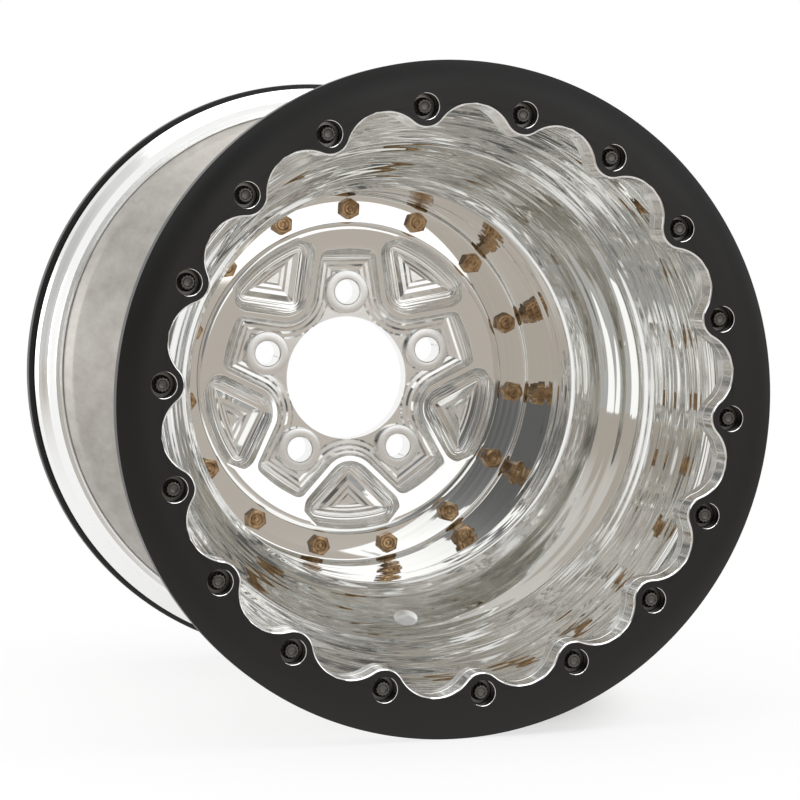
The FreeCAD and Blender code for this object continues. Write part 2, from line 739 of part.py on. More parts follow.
def centre_bolts():
    """Hex bolts from the street side through all three flanges."""
    body = start_body("centre_bolts")
    end = "joint_back + washer_thickness + nut_height + joint_bolt_tail"
    sketch = face_sketch(body, "shank_outline", "joint_front")
    circle(sketch, "0", "joint_bolt_circle", "joint_bolt_radius")
    shank = pad(body, "shank", sketch, f"{end} - joint_front", towards_back=True)
    sketch = face_sketch(body, "head_outline", "joint_front")
    outline(sketch, hexagon("0", "joint_bolt_circle", "joint_bolt_head_flats", HEX_STEP))
    head = pad(body, "head", sketch, "joint_bolt_head_height")
    around(body, "bolts", [shank, head], "joint_bolt_count")
    return body


def centre_washers():
    body = start_body("centre_washers")
    sketch = face_sketch(body, "washer_outline", "joint_back")
    circle(sketch, "0", "joint_bolt_circle", "washer_radius")
    circle(sketch, "0", "joint_bolt_circle", "joint_bolt_radius + joint_bolt_clearance")
    washer = pad(body, "washer", sketch, "washer_thickness", towards_back=True)
    around(body, "washers", [washer], "joint_bolt_count")
    return body


def centre_nuts():
    body = start_body("centre_nuts")
    sketch = face_sketch(body, "nut_outline", "joint_back + washer_thickness")
    outline(sketch, hexagon("0", "joint_bolt_circle", "nut_flats", HEX_STEP))
    circle(sketch, "0", "joint_bolt_circle", "joint_bolt_radius + thread_clearance")
    nut = pad(body, "nut", sketch, "nut_height", towards_back=True)
    around(body, "nuts", [nut], "joint_bolt_count")
    return body


def joint_sealant():
    """Bead of sealant laid over the joint on the tyre's side, tapered at both edges."""
    body = start_body("joint_sealant")
    middle = "(centre_front + centre_back) / 2"
    foot = "root_radius + rim_wall"
    revolve(body, "bead", [
        (axial(f"{middle} - sealant_width / 2"), foot),
        (axial(f"{middle} - sealant_width / 2 + sealant_slope"), f"{foot} + sealant_thickness"),
        (axial(f"{middle} + sealant_width / 2 - sealant_slope"), f"{foot} + sealant_thickness"),
        (axial(f"{middle} + sealant_width / 2"), foot),
    ])
    return body


parts = [
    beadlock_ring("front_beadlock_ring", at_back=False),
    beadlock_ring("rear_beadlock_ring", at_back=True),
    ring_bolts("front_ring_bolts", at_back=False),
    ring_bolts("rear_ring_bolts", at_back=True),
    bead_flange("front_bead_flange", at_back=False),
    bead_flange("rear_bead_flange", at_back=True),
    outer_rim_half(),
    inner_rim_half(),
    wheel_centre(),
    centre_bolts(),
    centre_washers(),
    centre_nuts(),
    joint_sealant(),
]
doc.recompute()

for item in doc.Objects:
    if "Invalid" in item.State or "Error" in item.State:
        raise RuntimeError(f"{item.Label} failed: {item.State}")
for part in parts:
    if part.Shape.isNull() or not part.Shape.isValid():
        raise RuntimeError(f"{part.Label} has no valid shape")

os.makedirs("parts", exist_ok=True)
for part in parts:
    part.Shape.exportStep(f"parts/{part.Label}.step")
    print(f"{part.Label}: {len(part.Shape.Solids)} solids, {part.Shape.Volume / 1000:.1f} cm3")
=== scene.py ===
"""A bare deep-dish drag racing wheel: clamp rings, spun barrel, bolted centre, and the studio it stands in."""
import math
from types import SimpleNamespace

import bmesh
import bpy
import numpy as np
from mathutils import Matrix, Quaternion, Vector


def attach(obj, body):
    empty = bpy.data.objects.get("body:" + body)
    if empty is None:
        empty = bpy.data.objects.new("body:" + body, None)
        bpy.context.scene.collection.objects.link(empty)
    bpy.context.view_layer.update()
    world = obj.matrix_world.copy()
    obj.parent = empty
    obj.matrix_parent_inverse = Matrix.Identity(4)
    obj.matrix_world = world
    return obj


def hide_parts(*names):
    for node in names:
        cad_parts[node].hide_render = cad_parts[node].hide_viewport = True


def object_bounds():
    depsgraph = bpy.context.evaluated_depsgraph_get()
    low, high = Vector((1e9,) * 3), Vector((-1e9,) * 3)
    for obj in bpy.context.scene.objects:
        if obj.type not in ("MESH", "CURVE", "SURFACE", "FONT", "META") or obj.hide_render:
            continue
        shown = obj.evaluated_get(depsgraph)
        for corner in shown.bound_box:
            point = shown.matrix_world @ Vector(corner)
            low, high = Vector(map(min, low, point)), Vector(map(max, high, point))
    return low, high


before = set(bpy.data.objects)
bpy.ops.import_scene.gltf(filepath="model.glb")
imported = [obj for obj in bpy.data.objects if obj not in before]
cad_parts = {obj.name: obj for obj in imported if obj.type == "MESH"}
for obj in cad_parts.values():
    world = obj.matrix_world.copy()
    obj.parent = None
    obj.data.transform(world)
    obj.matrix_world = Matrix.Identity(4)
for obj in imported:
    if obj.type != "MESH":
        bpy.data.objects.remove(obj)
CAD_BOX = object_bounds()

bl_info = {
    "name": "Drag Racing Wheel",
    "version": (1, 0, 0),
    "blender": (4, 5, 0),
    "location": "View3D > Sidebar > Wheel",
    "description": "Builds a three-piece bead-lock racing wheel and its studio",
    "category": "Add Mesh",
}

MM = 0.001
# Edges that bend by more than this stay crisp, and points nearer than this (in metres) are one point
SHARP_ANGLE = math.radians(32)
WELD = 2e-6
SEED = 15

# Steps of the grids
LOBE_STEPS = 24
VALLEY_STEPS = 10
SIDE_STEPS = 4
RIM_STEPS = 40
BARREL_COLUMNS = 480
CENTRE_COLUMNS = 360
BOLT_COLUMNS = 72

# Fixed sizes in millimetres: hole radii, the bead pocket behind a ring's edge, and small broken edges
RING_BOLT_HOLE = 3.4
TAPPED_HOLE = 3.2
BEAD_POCKET_RADIUS = 204.0
BEAD_POCKET_FLOOR = 9.0
EDGE_BREAK = 0.3
# Thickness of the three flanges that the joint bolts hold, and the radius of their common edge
RIM_FLANGE = 6.0
CENTRE_FLANGE = 10.0
JOINT_STACK = RIM_FLANGE + CENTRE_FLANGE + RIM_FLANGE
FLANGE_EDGE = 133.4
WASHER = 1.6
# Straight length of the outer half's tyre side before the joint
JOINT_STRAIGHT = 10.0
# The inner half's drop, on the tyre side and inside: depths where it starts and ends, and its bends between them
DROP_OUTSIDE = (288.0, (296.0, 138.0), (335.0, 183.0), 342.5)
DROP_INSIDE = (289.7, (299.4, 135.0), (338.4, 180.0), 344.2)
# Half the sealant's width, and its height
SEALANT_HALF = 9.2
SEALANT_HEIGHT = 1.7
# Bends of the outer half's inside, from the mouth in: (depth, radius)
MOUTH_BEND = 42.0
BARREL_BENDS = ((60.0, 177.3), (113.0, 161.3), (149.0, 138.3), (167.0, 131.3))
BARREL_ROUNDS = (14, 12, 16, 12, 14)
# Width across flats and head heights of the ring bolts and the joint bolts
RING_BOLT_FLATS = 7.94
RING_BOLT_HEAD = 6.3
JOINT_FLATS = 12.7
JOINT_BOLT_HEAD = 5.6
JOINT_BOLT_LENGTH = 32.9
NUT_HEIGHT = 6.8
CORNER_CONE = math.tan(math.radians(30))
VALVE_DEPTH = 131.0
# The patch of barrel round the valve hole: half its depth, and the columns on each side
WINDOW = 11.0
WINDOW_COLUMNS = 6


# Properties: what a user would change

def linear(hexadecimal):
    """An sRGB hexadecimal colour as linear values: a straight foot below 0.04045, a power of 2.4 above it."""
    values = np.array([int(hexadecimal[k:k + 2], 16) for k in (1, 3, 5)]) / 255
    values = np.where(values <= 0.04045, values / 12.92, ((values + 0.055) / 1.055) ** 2.4)
    return (*values.tolist(), 1.0)


def length(name, description, millimetres):
    """A length property, kept in metres: millimetres over a thousand."""
    return bpy.props.FloatProperty(name=name, description=description, default=millimetres * MM, unit="LENGTH",
                                   precision=5)


def angle(name, description, degrees):
    """An angle property, kept in radians: degrees times pi over 180."""
    return bpy.props.FloatProperty(name=name, description=description, default=math.radians(degrees),
                                   subtype="ANGLE")


def count(name, description, number):
    """A whole number property of one or more."""
    return bpy.props.IntProperty(name=name, description=description, default=number, min=1)


def colour(name, description, hexadecimal):
    """A colour property with its default in linear values."""
    return bpy.props.FloatVectorProperty(name=name, description=description, default=linear(hexadecimal), size=4,
                                         subtype="COLOR", min=0.0, max=1.0)


class WheelSizes(bpy.types.PropertyGroup):
    """Sizes of the wheel; a depth is measured in from the outside face of the nearest clamp ring."""
    overall_width: length("Overall width", "Between the outside faces of the rings",
                          (CAD_BOX[1][1] - CAD_BOX[0][1]) / MM)
    ring_radius: length("Ring radius", "Outside of a clamp ring", CAD_BOX[1][0] / MM)
    ring_thickness: length("Ring thickness", "Clamp ring at its bolts", 15.0)
    crown_width: length("Crown width", "Rounded outer part of the ring's face", 18.6)
    crown_drop: length("Crown drop", "How far the crown falls at the ring's edge", 4.0)
    ring_bolt_circle: length("Ring bolt circle", "Radius of the ring's bolt circle", 181.0)
    ring_bolts: count("Ring bolts", "Bolts in each clamp ring", 18)
    ring_turn: angle("Ring turn", "Turn of the rings' bolts against the lugs", 5.1)
    lobe_radius: length("Lobe radius", "Round of the metal about a ring bolt", 13.0)
    valley_radius: length("Valley radius", "Wheel axis to the bottom of a scallop", 182.0)
    scallop_chamfer: length("Scallop chamfer", "Bright cut edge along the scallops", 1.0)
    counterbore_radius: length("Counterbore radius", "Pocket for a ring bolt's head", 8.0)
    counterbore_depth: length("Counterbore depth", "Depth of a ring bolt's pocket", 9.5)
    flange_thickness: length("Bead flange thickness", "Scalloped part of a bead flange", 10.0)
    seat_radius: length("Seat radius", "Where a ring pilots on its bead flange", 190.5)
    barrel_radius: length("Barrel radius", "Outside of the barrel at its mouths", 188.2)
    rim_wall: length("Rim wall", "Thickness of the spun sheet", 5.0)
    root_radius: length("Root radius", "Inside of the barrel at the bolted joint", 128.6)
    joint_front: length("Joint front", "Depth of the outer half's flange", 258.0)
    joint_bolt_circle: length("Joint bolt circle", "Radius of the joint's bolt circle", 118.0)
    joint_bolts: count("Joint bolts", "Bolts through the three flanges", 15)
    flange_bore: length("Flange bore", "Hole in each rim half's flange", 109.0)
    bore_radius: length("Bore radius", "Hub bore", 42.95)
    hub_face: length("Hub face", "Depth of the face that meets the axle", 283.4)
    lug_circle: length("Lug circle", "Radius of the lug circle", 60.325)
    lugs: count("Lugs", "Lug holes", 5)
    lug_hole_radius: length("Lug hole radius", "Clearance hole for a stud", 8.73)
    valve_turn: angle("Valve turn", "Valve hole's place, clockwise from the top lug", 178.9)
    valve_radius: length("Valve hole radius", "Open valve hole", 7.9)


class WheelFinishes(bpy.types.PropertyGroup):
    """Colours of the wheel's finishes."""
    black: colour("Anodised black", "Clamp rings", "#0c0a09")
    polished: colour("Polished aluminium", "Inside of the barrel and the centre", "#efefed")
    machined: colour("Machined aluminium", "Cut edges and bead seats", "#f3f3f2")
    raw: colour("Raw aluminium", "Tyre side of the barrel", "#bab7b2")
    stain: colour("Raw aluminium stain", "Darker mottling on the tyre side", "#a6a29c")
    # Black oxide lifted to a mid grey: painted light on the ring bolts and their counterbores, which sit deep in
    # shade.
    oxide: colour("Black oxide", "Ring bolts", "#6c6a67")
    plating: colour("Yellow plating", "Joint bolts, washers and nuts", "#cbab84")
    plating_dark: colour("Tarnished plating", "Brown patches in the plating", "#8f7152")
    silicone: colour("Silicone", "Sealant over the joint", "#c2c5c6")


class WheelStage(bpy.types.PropertyGroup):
    """Camera, floor and lamps."""
    floor: colour("Floor", "Pale studio floor", "#f4f4f4")
    mirrored: colour("Mirrored floor", "The floor as polished metal shows it", "#bcb4ab")
    lens: bpy.props.FloatProperty(name="Lens", description="Focal length on a 36 mm sensor", default=131.2,
                                  unit="CAMERA")
    camera_place: bpy.props.FloatVectorProperty(name="Camera", description="Camera's place", subtype="TRANSLATION",
                                                default=(-0.5007, -1.8987, 0.1243))
    camera_aim: bpy.props.FloatVectorProperty(name="Aim", description="Point the camera looks at",
                                              subtype="TRANSLATION", default=(-0.0278, -0.1663, 0.0006))
    camera_roll: angle("Camera roll", "Turn of the camera about its own line of sight", -0.62)
    lamp_power: bpy.props.FloatProperty(name="Lamp power", description="Power that the soft boxes have shares of",
                                        default=30.0, unit="POWER")


def in_millimetres(group):
    """A group's values as plain numbers: lengths go from metres to millimetres, and the rest stay as they are."""
    kinds = group.bl_rna.properties
    values = {name: getattr(group, name) for name in group.__annotations__}
    return SimpleNamespace(**{name: value / MM if kinds[name].unit == "LENGTH" else value
                              for name, value in values.items()})


def wheel_settings(context):
    """The scene's sizes in millimetres, and its finishes."""
    return in_millimetres(context.scene.wheel_sizes), context.scene.wheel_finishes


# Geometry tools: everything is worked out in millimetres

class Shell:
    """Grids of points that become one welded mesh."""

    def __init__(self):
        self.points = []
        self.quads = []
        self.slots = []
        self.total = 0

    def grid(self, points, slot=0, around=False, facing=None):
        """Joins neighbours of a (rows, columns, 3) array, or a stack of such arrays, into four-sided faces."""
        points = points.reshape((-1,) + points.shape[-3:])
        copies, rows, columns = points.shape[:3]
        index = np.arange(copies * rows * columns).reshape(copies, rows, columns)
        if around:
            index = np.concatenate([index, index[:, :, :1]], axis=2)
        quads = np.stack([index[:, :-1, :-1], index[:, :-1, 1:], index[:, 1:, 1:], index[:, 1:, :-1]], axis=-1)
        slots = np.broadcast_to(np.reshape(slot, (1, -1, 1)), quads.shape[:3])
        points, quads = points.reshape(-1, 3), quads.reshape(-1, 4)
        if facing and not faces_way(points, quads, facing):
            quads = quads[:, ::-1]
        self.points.append(points)
        self.quads.append(quads + self.total)
        self.slots.append(slots.reshape(-1))
        self.total += len(points)

    def build(self, name, materials, replaces, outward=True):
        """Welds the grids, points the faces outwards, hangs the piece under the root body and hides the CAD parts
        it replaces.
        """
        mesh = bpy.data.meshes.new(name)
        mesh.from_pydata((np.concatenate(self.points) * MM).tolist(), [], np.concatenate(self.quads).tolist())
        mesh.polygons.foreach_set("material_index", np.concatenate(self.slots).astype(np.int32))
        work = bmesh.new()
        work.from_mesh(mesh)
        bmesh.ops.remove_doubles(work, verts=work.verts, dist=WELD)
        bmesh.ops.dissolve_degenerate(work, edges=work.edges, dist=WELD)
        if outward:
            bmesh.ops.recalc_face_normals(work, faces=work.faces)
        work.to_mesh(mesh)
        work.free()
        mesh.shade_smooth()
        mesh.set_sharp_from_angle(angle=SHARP_ANGLE)
        sharpen_borders(mesh)
        for material in materials:
            mesh.materials.append(material)
        piece = bpy.data.objects.new(name, mesh)
        bpy.context.scene.collection.objects.link(piece)
        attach(piece, "root")
        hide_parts(*replaces)
        return piece


def sharpen_borders(mesh):
    """Marks each edge sharp where the lowest and the highest finish of the faces that meet there differ."""
    edge_of_corner = np.zeros(len(mesh.loops), dtype=np.int32)
    mesh.loops.foreach_get("edge_index", edge_of_corner)
    slots = np.zeros(len(mesh.polygons), dtype=np.int32)
    mesh.polygons.foreach_get("material_index", slots)
    corners = np.zeros(len(mesh.polygons), dtype=np.int32)
    mesh.polygons.foreach_get("loop_total", corners)
    slot_of_corner = np.repeat(slots, corners)
    lowest = np.full(len(mesh.edges), slots.max())
    highest = np.zeros(len(mesh.edges), dtype=np.int32)
    np.minimum.at(lowest, edge_of_corner, slot_of_corner)
    np.maximum.at(highest, edge_of_corner, slot_of_corner)
    sharp = mesh.attributes.get("sharp_edge") or mesh.attributes.new("sharp_edge", "BOOLEAN", "EDGE")
    marked = np.zeros(len(mesh.edges), dtype=bool)
    sharp.data.foreach_get("value", marked)
    sharp.data.foreach_set("value", marked | (lowest != highest))


def faces_way(points, quads, facing):
    """Whether most of a grid's area faces the front, the back, the wheel's axis or its rim."""
    a, b, c, d = (points[quads[:, k]] for k in range(4))
    normals = np.cross(c - a, d - b)
    outward = (a + c) / 2 * [1, 0, 1]
    way = {"front": np.array([0, -1, 0]), "back": np.array([0, 1, 0]), "axis": -outward, "rim": outward}[facing]
    return np.sum(normals * way) > 0


def wheel_point(across, out, depth, turn, width):
    """Places points given across and out from the axis, at a depth, with the sector turned clockwise."""
    across, out, depth, turn = np.broadcast_arrays(across, out, depth, turn)
    x = out * np.sin(turn) + across * np.cos(turn)
    z = out * np.cos(turn) - across * np.sin(turn)
    return np.stack([x, depth - width / 2, z], axis=-1)


def to_back(points):
    """Swaps points end for end: half a turn about the upright axis."""
    return points * np.array([-1.0, -1.0, 1.0])


def revolve(profile, turns, width):
    """Carries a profile of (depth, radius) about the wheel's axis: rows follow the profile, columns the turns."""
    profile = np.asarray(profile)
    return wheel_point(0.0, profile[:, 1, None], profile[:, 0, None], turns[None, :], width)


def full_turn(columns):
    """Even turns round a circle, without the last: two pi times k over their number."""
    return np.linspace(0, 2 * math.pi, columns, endpoint=False)


def arc(start, end, steps):
    """Even turns from start to end, both kept."""
    return np.linspace(start, end, steps + 1)


def rounded(corners, radii, steps=6):
    """A polyline with each inner corner replaced by an arc that touches both of its sides.

    The arc's centre is on the corner's middle line, at the radius over the sine of half the corner's angle.
    """
    corners = np.asarray(corners, dtype=float)
    path = [corners[:1]]
    for before, corner, after, radius in zip(corners[:-2], corners[1:-1], corners[2:], radii):
        into = (before - corner) / np.linalg.norm(before - corner)
        out = (after - corner) / np.linalg.norm(after - corner)
        half = math.acos(np.clip(np.dot(into, out), -1, 1)) / 2
        if radius <= 0 or half > math.pi / 2 - 1e-4:
            path.append(corner[None])
            continue
        middle = (into + out) / np.linalg.norm(into + out)
        centre = corner + middle * radius / math.sin(half)
        first = corner + into * radius / math.tan(half) - centre
        last = corner + out * radius / math.tan(half) - centre
        sweep = math.atan2(first[0] * last[1] - first[1] * last[0], np.dot(first, last))
        turn = np.linspace(0, sweep, steps + 1)
        path.append(centre + np.outer(np.cos(turn), first) + np.outer(np.sin(turn), [-first[1], first[0]]))
    path.append(corners[-1:])
    return np.concatenate(path)


def subdivided(path, longest):
    """Adds even points on the runs of a path that are longer than a limit."""
    pieces = [path[:1]]
    for start, end in zip(path[:-1], path[1:]):
        steps = max(1, math.ceil(np.linalg.norm(end - start) / longest))
        pieces.append(start + (end - start) * np.linspace(0, 1, steps + 1)[1:, None])
    return np.concatenate(pieces)


def sector_loop(inner, outer_radius, half_angle, side_steps, outer_steps):
    """A closed loop round one sector: an inner curve, a side, an outer circle and the other side."""
    last = inner[-1]
    reach = np.linalg.norm(last)
    side = np.linspace(reach, outer_radius, side_steps + 1)[1:, None] * np.array([math.sin(half_angle),
                                                                              math.cos(half_angle)])
    turn = np.linspace(half_angle, -half_angle, outer_steps + 1)[1:]
    outer = outer_radius * np.column_stack([np.sin(turn), np.cos(turn)])
    back = (side * [-1, 1])[::-1][1:]
    return np.concatenate([inner, side, outer, back])


def hole_patch(loop, centre_radius, profile, shares, depth):
    """Rows that go from a round hole's profile of (depth, radius) out to a loop, all on rays from its centre."""
    centre = np.array([0.0, centre_radius])
    rays = loop - centre
    reach = np.linalg.norm(rays, axis=1)
    rays = rays / reach[:, None]
    profile = np.asarray(profile)
    rim = profile[-1, 1]
    flat = rim + np.asarray(shares)[:, None] * (reach - rim)[None, :]
    radius = np.concatenate([np.broadcast_to(profile[:, 1, None], (len(profile), len(loop))), flat])
    depths = np.concatenate([profile[:, 0], np.full(len(shares), depth)])
    spots = centre + radius[:, :, None] * rays[None]
    return spots[:, :, 0], spots[:, :, 1], depths[:, None]


def scallop(sizes, offset):
    """One scallop about its bolt: half a valley, the lobe, half a valley. An offset moves it into the metal.

    The valley is an arc that touches the lobe and reaches the valley radius half way between bolts: the law of
    cosines in the triangle of axis, bolt and valley centre gives its radius.
    """
    half = math.pi / sizes.ring_bolts
    bolt = sizes.ring_bolt_circle
    top = sizes.valley_radius
    lobe = sizes.lobe_radius
    valley = ((bolt ** 2 + top ** 2 - 2 * bolt * top * math.cos(half) - lobe ** 2)
              / (2 * (lobe + top - bolt * math.cos(half))))
    centre = (top - valley) * np.array([math.sin(half), math.cos(half)])
    lean = math.atan2(centre[0], bolt - centre[1])
    turn = arc(-lean, lean, LOBE_STEPS)
    lobe_arc = np.column_stack([(lobe - offset) * np.sin(turn), bolt - (lobe - offset) * np.cos(turn)])
    turn = arc(-lean, half, VALLEY_STEPS)[1:]
    valley_arc = centre + (valley + offset) * np.column_stack([np.sin(turn), np.cos(turn)])
    mirrored = (valley_arc * [-1, 1])[::-1]
    return np.concatenate([mirrored, lobe_arc, valley_arc])


def ring_turns(sizes):
    """Turns of a ring's bolts: even steps round the circle, less the ring's own turn."""
    step = 2 * math.pi / sizes.ring_bolts
    return -sizes.ring_turn + step * np.arange(sizes.ring_bolts)


def rim_turns(sizes):
    """Turns that meet the sector loops' outer points all the way round."""
    columns = sizes.ring_bolts * RIM_STEPS
    return -sizes.ring_turn - math.pi / sizes.ring_bolts + full_turn(columns)


def on_sectors(across, out, depth, turns, width):
    """Repeats one sector's points at every turn."""
    return wheel_point(across[None], out[None], np.broadcast_to(depth, across.shape)[None],
                       turns[:, None, None], width)


def scallop_wall(sizes, steps, turns, width):
    """The scalloped edge: rows of (offset, depth) carried along every scallop in turn."""
    across = np.stack([scallop(sizes, offset)[:, 0] for offset, depth in steps])
    out = np.stack([scallop(sizes, offset)[:, 1] for offset, depth in steps])
    depth = np.array([depth for offset, depth in steps])[:, None]
    return on_sectors(across, out, depth, turns, width)


def clamp_ring(sizes, finishes, name, node, at_back):
    """Crowned ring: sector patches with stepped bolt holes, a turned outside, and the scalloped edge.

    The crown is an arc that falls by the drop over its width: its radius is the sum of their squares over twice
    the drop.
    """
    width = sizes.overall_width
    thick = sizes.ring_thickness
    bolt = sizes.ring_bolt_circle
    radius = sizes.ring_radius
    crown = radius - sizes.crown_width
    drop = sizes.crown_drop
    seat = sizes.seat_radius
    bevel = sizes.scallop_chamfer
    bore = sizes.counterbore_radius
    floor = sizes.counterbore_depth
    half = math.pi / sizes.ring_bolts
    turns = ring_turns(sizes)
    place = to_back if at_back else np.copy
    black, bright, bored = 0, 1, 2
    shell = Shell()

    loop = sector_loop(scallop(sizes, bevel), crown, half, SIDE_STEPS, RIM_STEPS)
    hole = [(thick, RING_BOLT_HOLE), (floor + 0.2, RING_BOLT_HOLE), (floor, RING_BOLT_HOLE + EDGE_BREAK),
            (floor, bore - EDGE_BREAK), (floor - EDGE_BREAK, bore), (EDGE_BREAK, bore), (0.0, bore + EDGE_BREAK)]
    face = hole_patch(loop, bolt, hole, (0.04, 0.2, 0.6, 1.0), 0.0)
    # The counterbores' walls and floor take a grey metal lighter than the ring's black: painted light that lifts
    # the shade in the deep pockets.
    shell.grid(place(on_sectors(*face, turns, width)), [bored] * 5 + [bright] + [black] * 4, around=True)

    rise = radius - crown
    bow = (rise ** 2 + drop ** 2) / (2 * drop)
    turn = arc(0, math.asin(rise / bow), 12)
    crown_path = np.column_stack([bow * (1 - np.cos(turn)), crown + bow * np.sin(turn)])
    outside = rounded([(drop, radius), (thick - 1, radius), (thick - 1, BEAD_POCKET_RADIUS),
                       (BEAD_POCKET_FLOOR, BEAD_POCKET_RADIUS), (BEAD_POCKET_FLOOR, seat), (thick, seat)],
                      (0.8, 0.4, 0.8, 0.8), 3)
    path = subdivided(np.concatenate([crown_path, outside[1:]]), 3.0)
    shell.grid(place(revolve(path, rim_turns(sizes), width)), black, around=True)

    wall = [(bevel, 0.0), (bevel * 0.45, bevel * 0.4), (0.0, bevel), (0.0, thick * 0.4), (0.0, thick * 0.7),
            (0.0, thick - EDGE_BREAK), (EDGE_BREAK, thick)]
    shell.grid(place(scallop_wall(sizes, wall, turns, width)), bright)

    loop = sector_loop(scallop(sizes, EDGE_BREAK), seat, half, SIDE_STEPS, RIM_STEPS)
    back = hole_patch(loop, bolt, [(thick, RING_BOLT_HOLE)], (0.4, 1.0), thick)
    shell.grid(place(on_sectors(*back, turns, width)), black, around=True)
    finish = [black_anodised(finishes), machined_aluminium(finishes), counterbore_painted_light(finishes)]
    return shell.build(name, finish, [node])


def hex_radius(turn, flats):
    """Radius of a hexagon: half its width across flats, over the cosine of the turn from the nearest flat."""
    return flats / 2 / np.cos((turn % (math.pi / 3)) - math.pi / 6)


def star(turn, flats):
    """Radius of a twelve-pointed outline: the larger of two hexagons a twelfth of a turn apart."""
    return np.maximum(hex_radius(turn, flats), hex_radius(turn + math.pi / 6, flats))


def upright(radius, depth, turn, centre_radius, turns, width):
    """Repeats a shape about its own axis, given by radius rows at depths, round a bolt circle."""
    across = radius * np.sin(turn)
    out = centre_radius + radius * np.cos(turn)
    depth = np.broadcast_to(depth, across.shape)
    return wheel_point(across, out, depth, turns.reshape((-1, 1, 1)), width)


def turned_set(rows, circle, turns, spins, width):
    """Like shapes round a bolt circle: rows of radius and depth, both functions of the turn, and spins."""
    turn = full_turn(BOLT_COLUMNS)
    radius, depth = (np.stack([np.broadcast_to(row[k](turn), turn.shape) for row in rows])[None] for k in (0, 1))
    return upright(radius, depth, turn[None, None, :] + spins[:, None, None], circle, turns, width)


def ring_row(radius, depth):
    """A round row: one radius and one depth at every turn."""
    return (lambda turn: radius, lambda turn: depth)


def star_row(depth, share=1.0, more=0.0):
    """A twelve-pointed row of the ring bolts' heads, shrunk by a share or grown by a length."""
    return (lambda turn: star(turn, RING_BOLT_FLATS) * share + more, lambda turn: depth)


def hex_row(flats, depth, cone=None):
    """A six-sided row; a cone sinks its corners by its slope times their reach past the cone's circle."""
    circle, slope = cone or (0.0, 0.0)
    return (lambda turn: hex_radius(turn, flats), lambda turn: depth + slope * (hex_radius(turn, flats) - circle))


def ring_bolt_set(sizes, finishes, name, node, at_back):
    """Twelve-point flange bolts: a dished top, star-shaped flanks, a coned flange and a plain shank."""
    seat = sizes.counterbore_depth
    top = seat - RING_BOLT_HEAD
    end = sizes.ring_thickness + sizes.flange_thickness - 1.5
    rows = [ring_row(0.0, top + 0.9), ring_row(2.1, top + 0.9), ring_row(2.45, top + 0.75),
            ring_row(2.9, top + 0.1), ring_row(3.1, top), ring_row(3.55, top),
            star_row(top + 0.35, share=0.97), star_row(top + 0.8), star_row(seat - 1.75),
            star_row(seat - 1.6, more=0.25), ring_row(5.2, seat - 1.15), ring_row(5.6, seat - 0.95),
            ring_row(5.7, seat - 0.7), ring_row(5.7, seat), ring_row(3.175, seat),
            ring_row(3.175, end - 0.5), ring_row(2.7, end), ring_row(0.0, end)]
    spins = np.random.default_rng(SEED).uniform(0, math.pi / 6, sizes.ring_bolts)
    points = turned_set(rows, sizes.ring_bolt_circle, ring_turns(sizes), spins, sizes.overall_width)
    shell = Shell()
    shell.grid(to_back(points) if at_back else points, around=True)
    # The bolts' oxide grey is painted light on heads sunk in shaded pockets.
    return shell.build(name, [black_oxide(finishes)], [node])


def bead_flange(sizes, finishes, name, node, at_back):
    """Scalloped flange: sector patches with tapped holes, and a turned profile of shoulder, hump and taper."""
    width = sizes.overall_width
    front = sizes.ring_thickness
    back = front + sizes.flange_thickness
    bolt = sizes.ring_bolt_circle
    seat = sizes.seat_radius
    barrel = sizes.barrel_radius
    half = math.pi / sizes.ring_bolts
    turns = ring_turns(sizes)
    place = to_back if at_back else np.copy
    shell = Shell()
    loop = sector_loop(scallop(sizes, 0.4), seat, half, SIDE_STEPS, RIM_STEPS)
    face = hole_patch(loop, bolt, [(back, TAPPED_HOLE), (front, TAPPED_HOLE)], (0.4, 1.0), front)
    shell.grid(place(on_sectors(*face, turns, width)), around=True)
    outside = rounded([(front, seat), (front + 2, seat), (front + 2, 205.1), (front + 5, 205.1),
                       (front + 7.2, 202.9), (back + 2, 196.5), (back + 12, 192.5), (back + 12, 189.4),
                       (back + 16, 189.4), (back + 16, barrel), (back, barrel)],
                      (0.3, 0.6, 0.4, 0.5, 3.0, 0.3, 0.3, 0.3, 0.2), 5)
    shell.grid(place(revolve(subdivided(outside, 4.0), rim_turns(sizes), width)), around=True)
    wall = [(0.4, front), (0.0, front + 0.4), (0.0, back - 4), (0.0, back - 0.8), (0.8, back)]
    shell.grid(place(scallop_wall(sizes, wall, turns, width)))
    loop = sector_loop(scallop(sizes, 0.8), barrel, half, SIDE_STEPS, RIM_STEPS)
    rear = hole_patch(loop, bolt, [(back, TAPPED_HOLE)], (0.4, 1.0), back)
    shell.grid(place(on_sectors(*rear, turns, width)), around=True)
    return shell.build(name, [turned_aluminium(finishes)], [node])


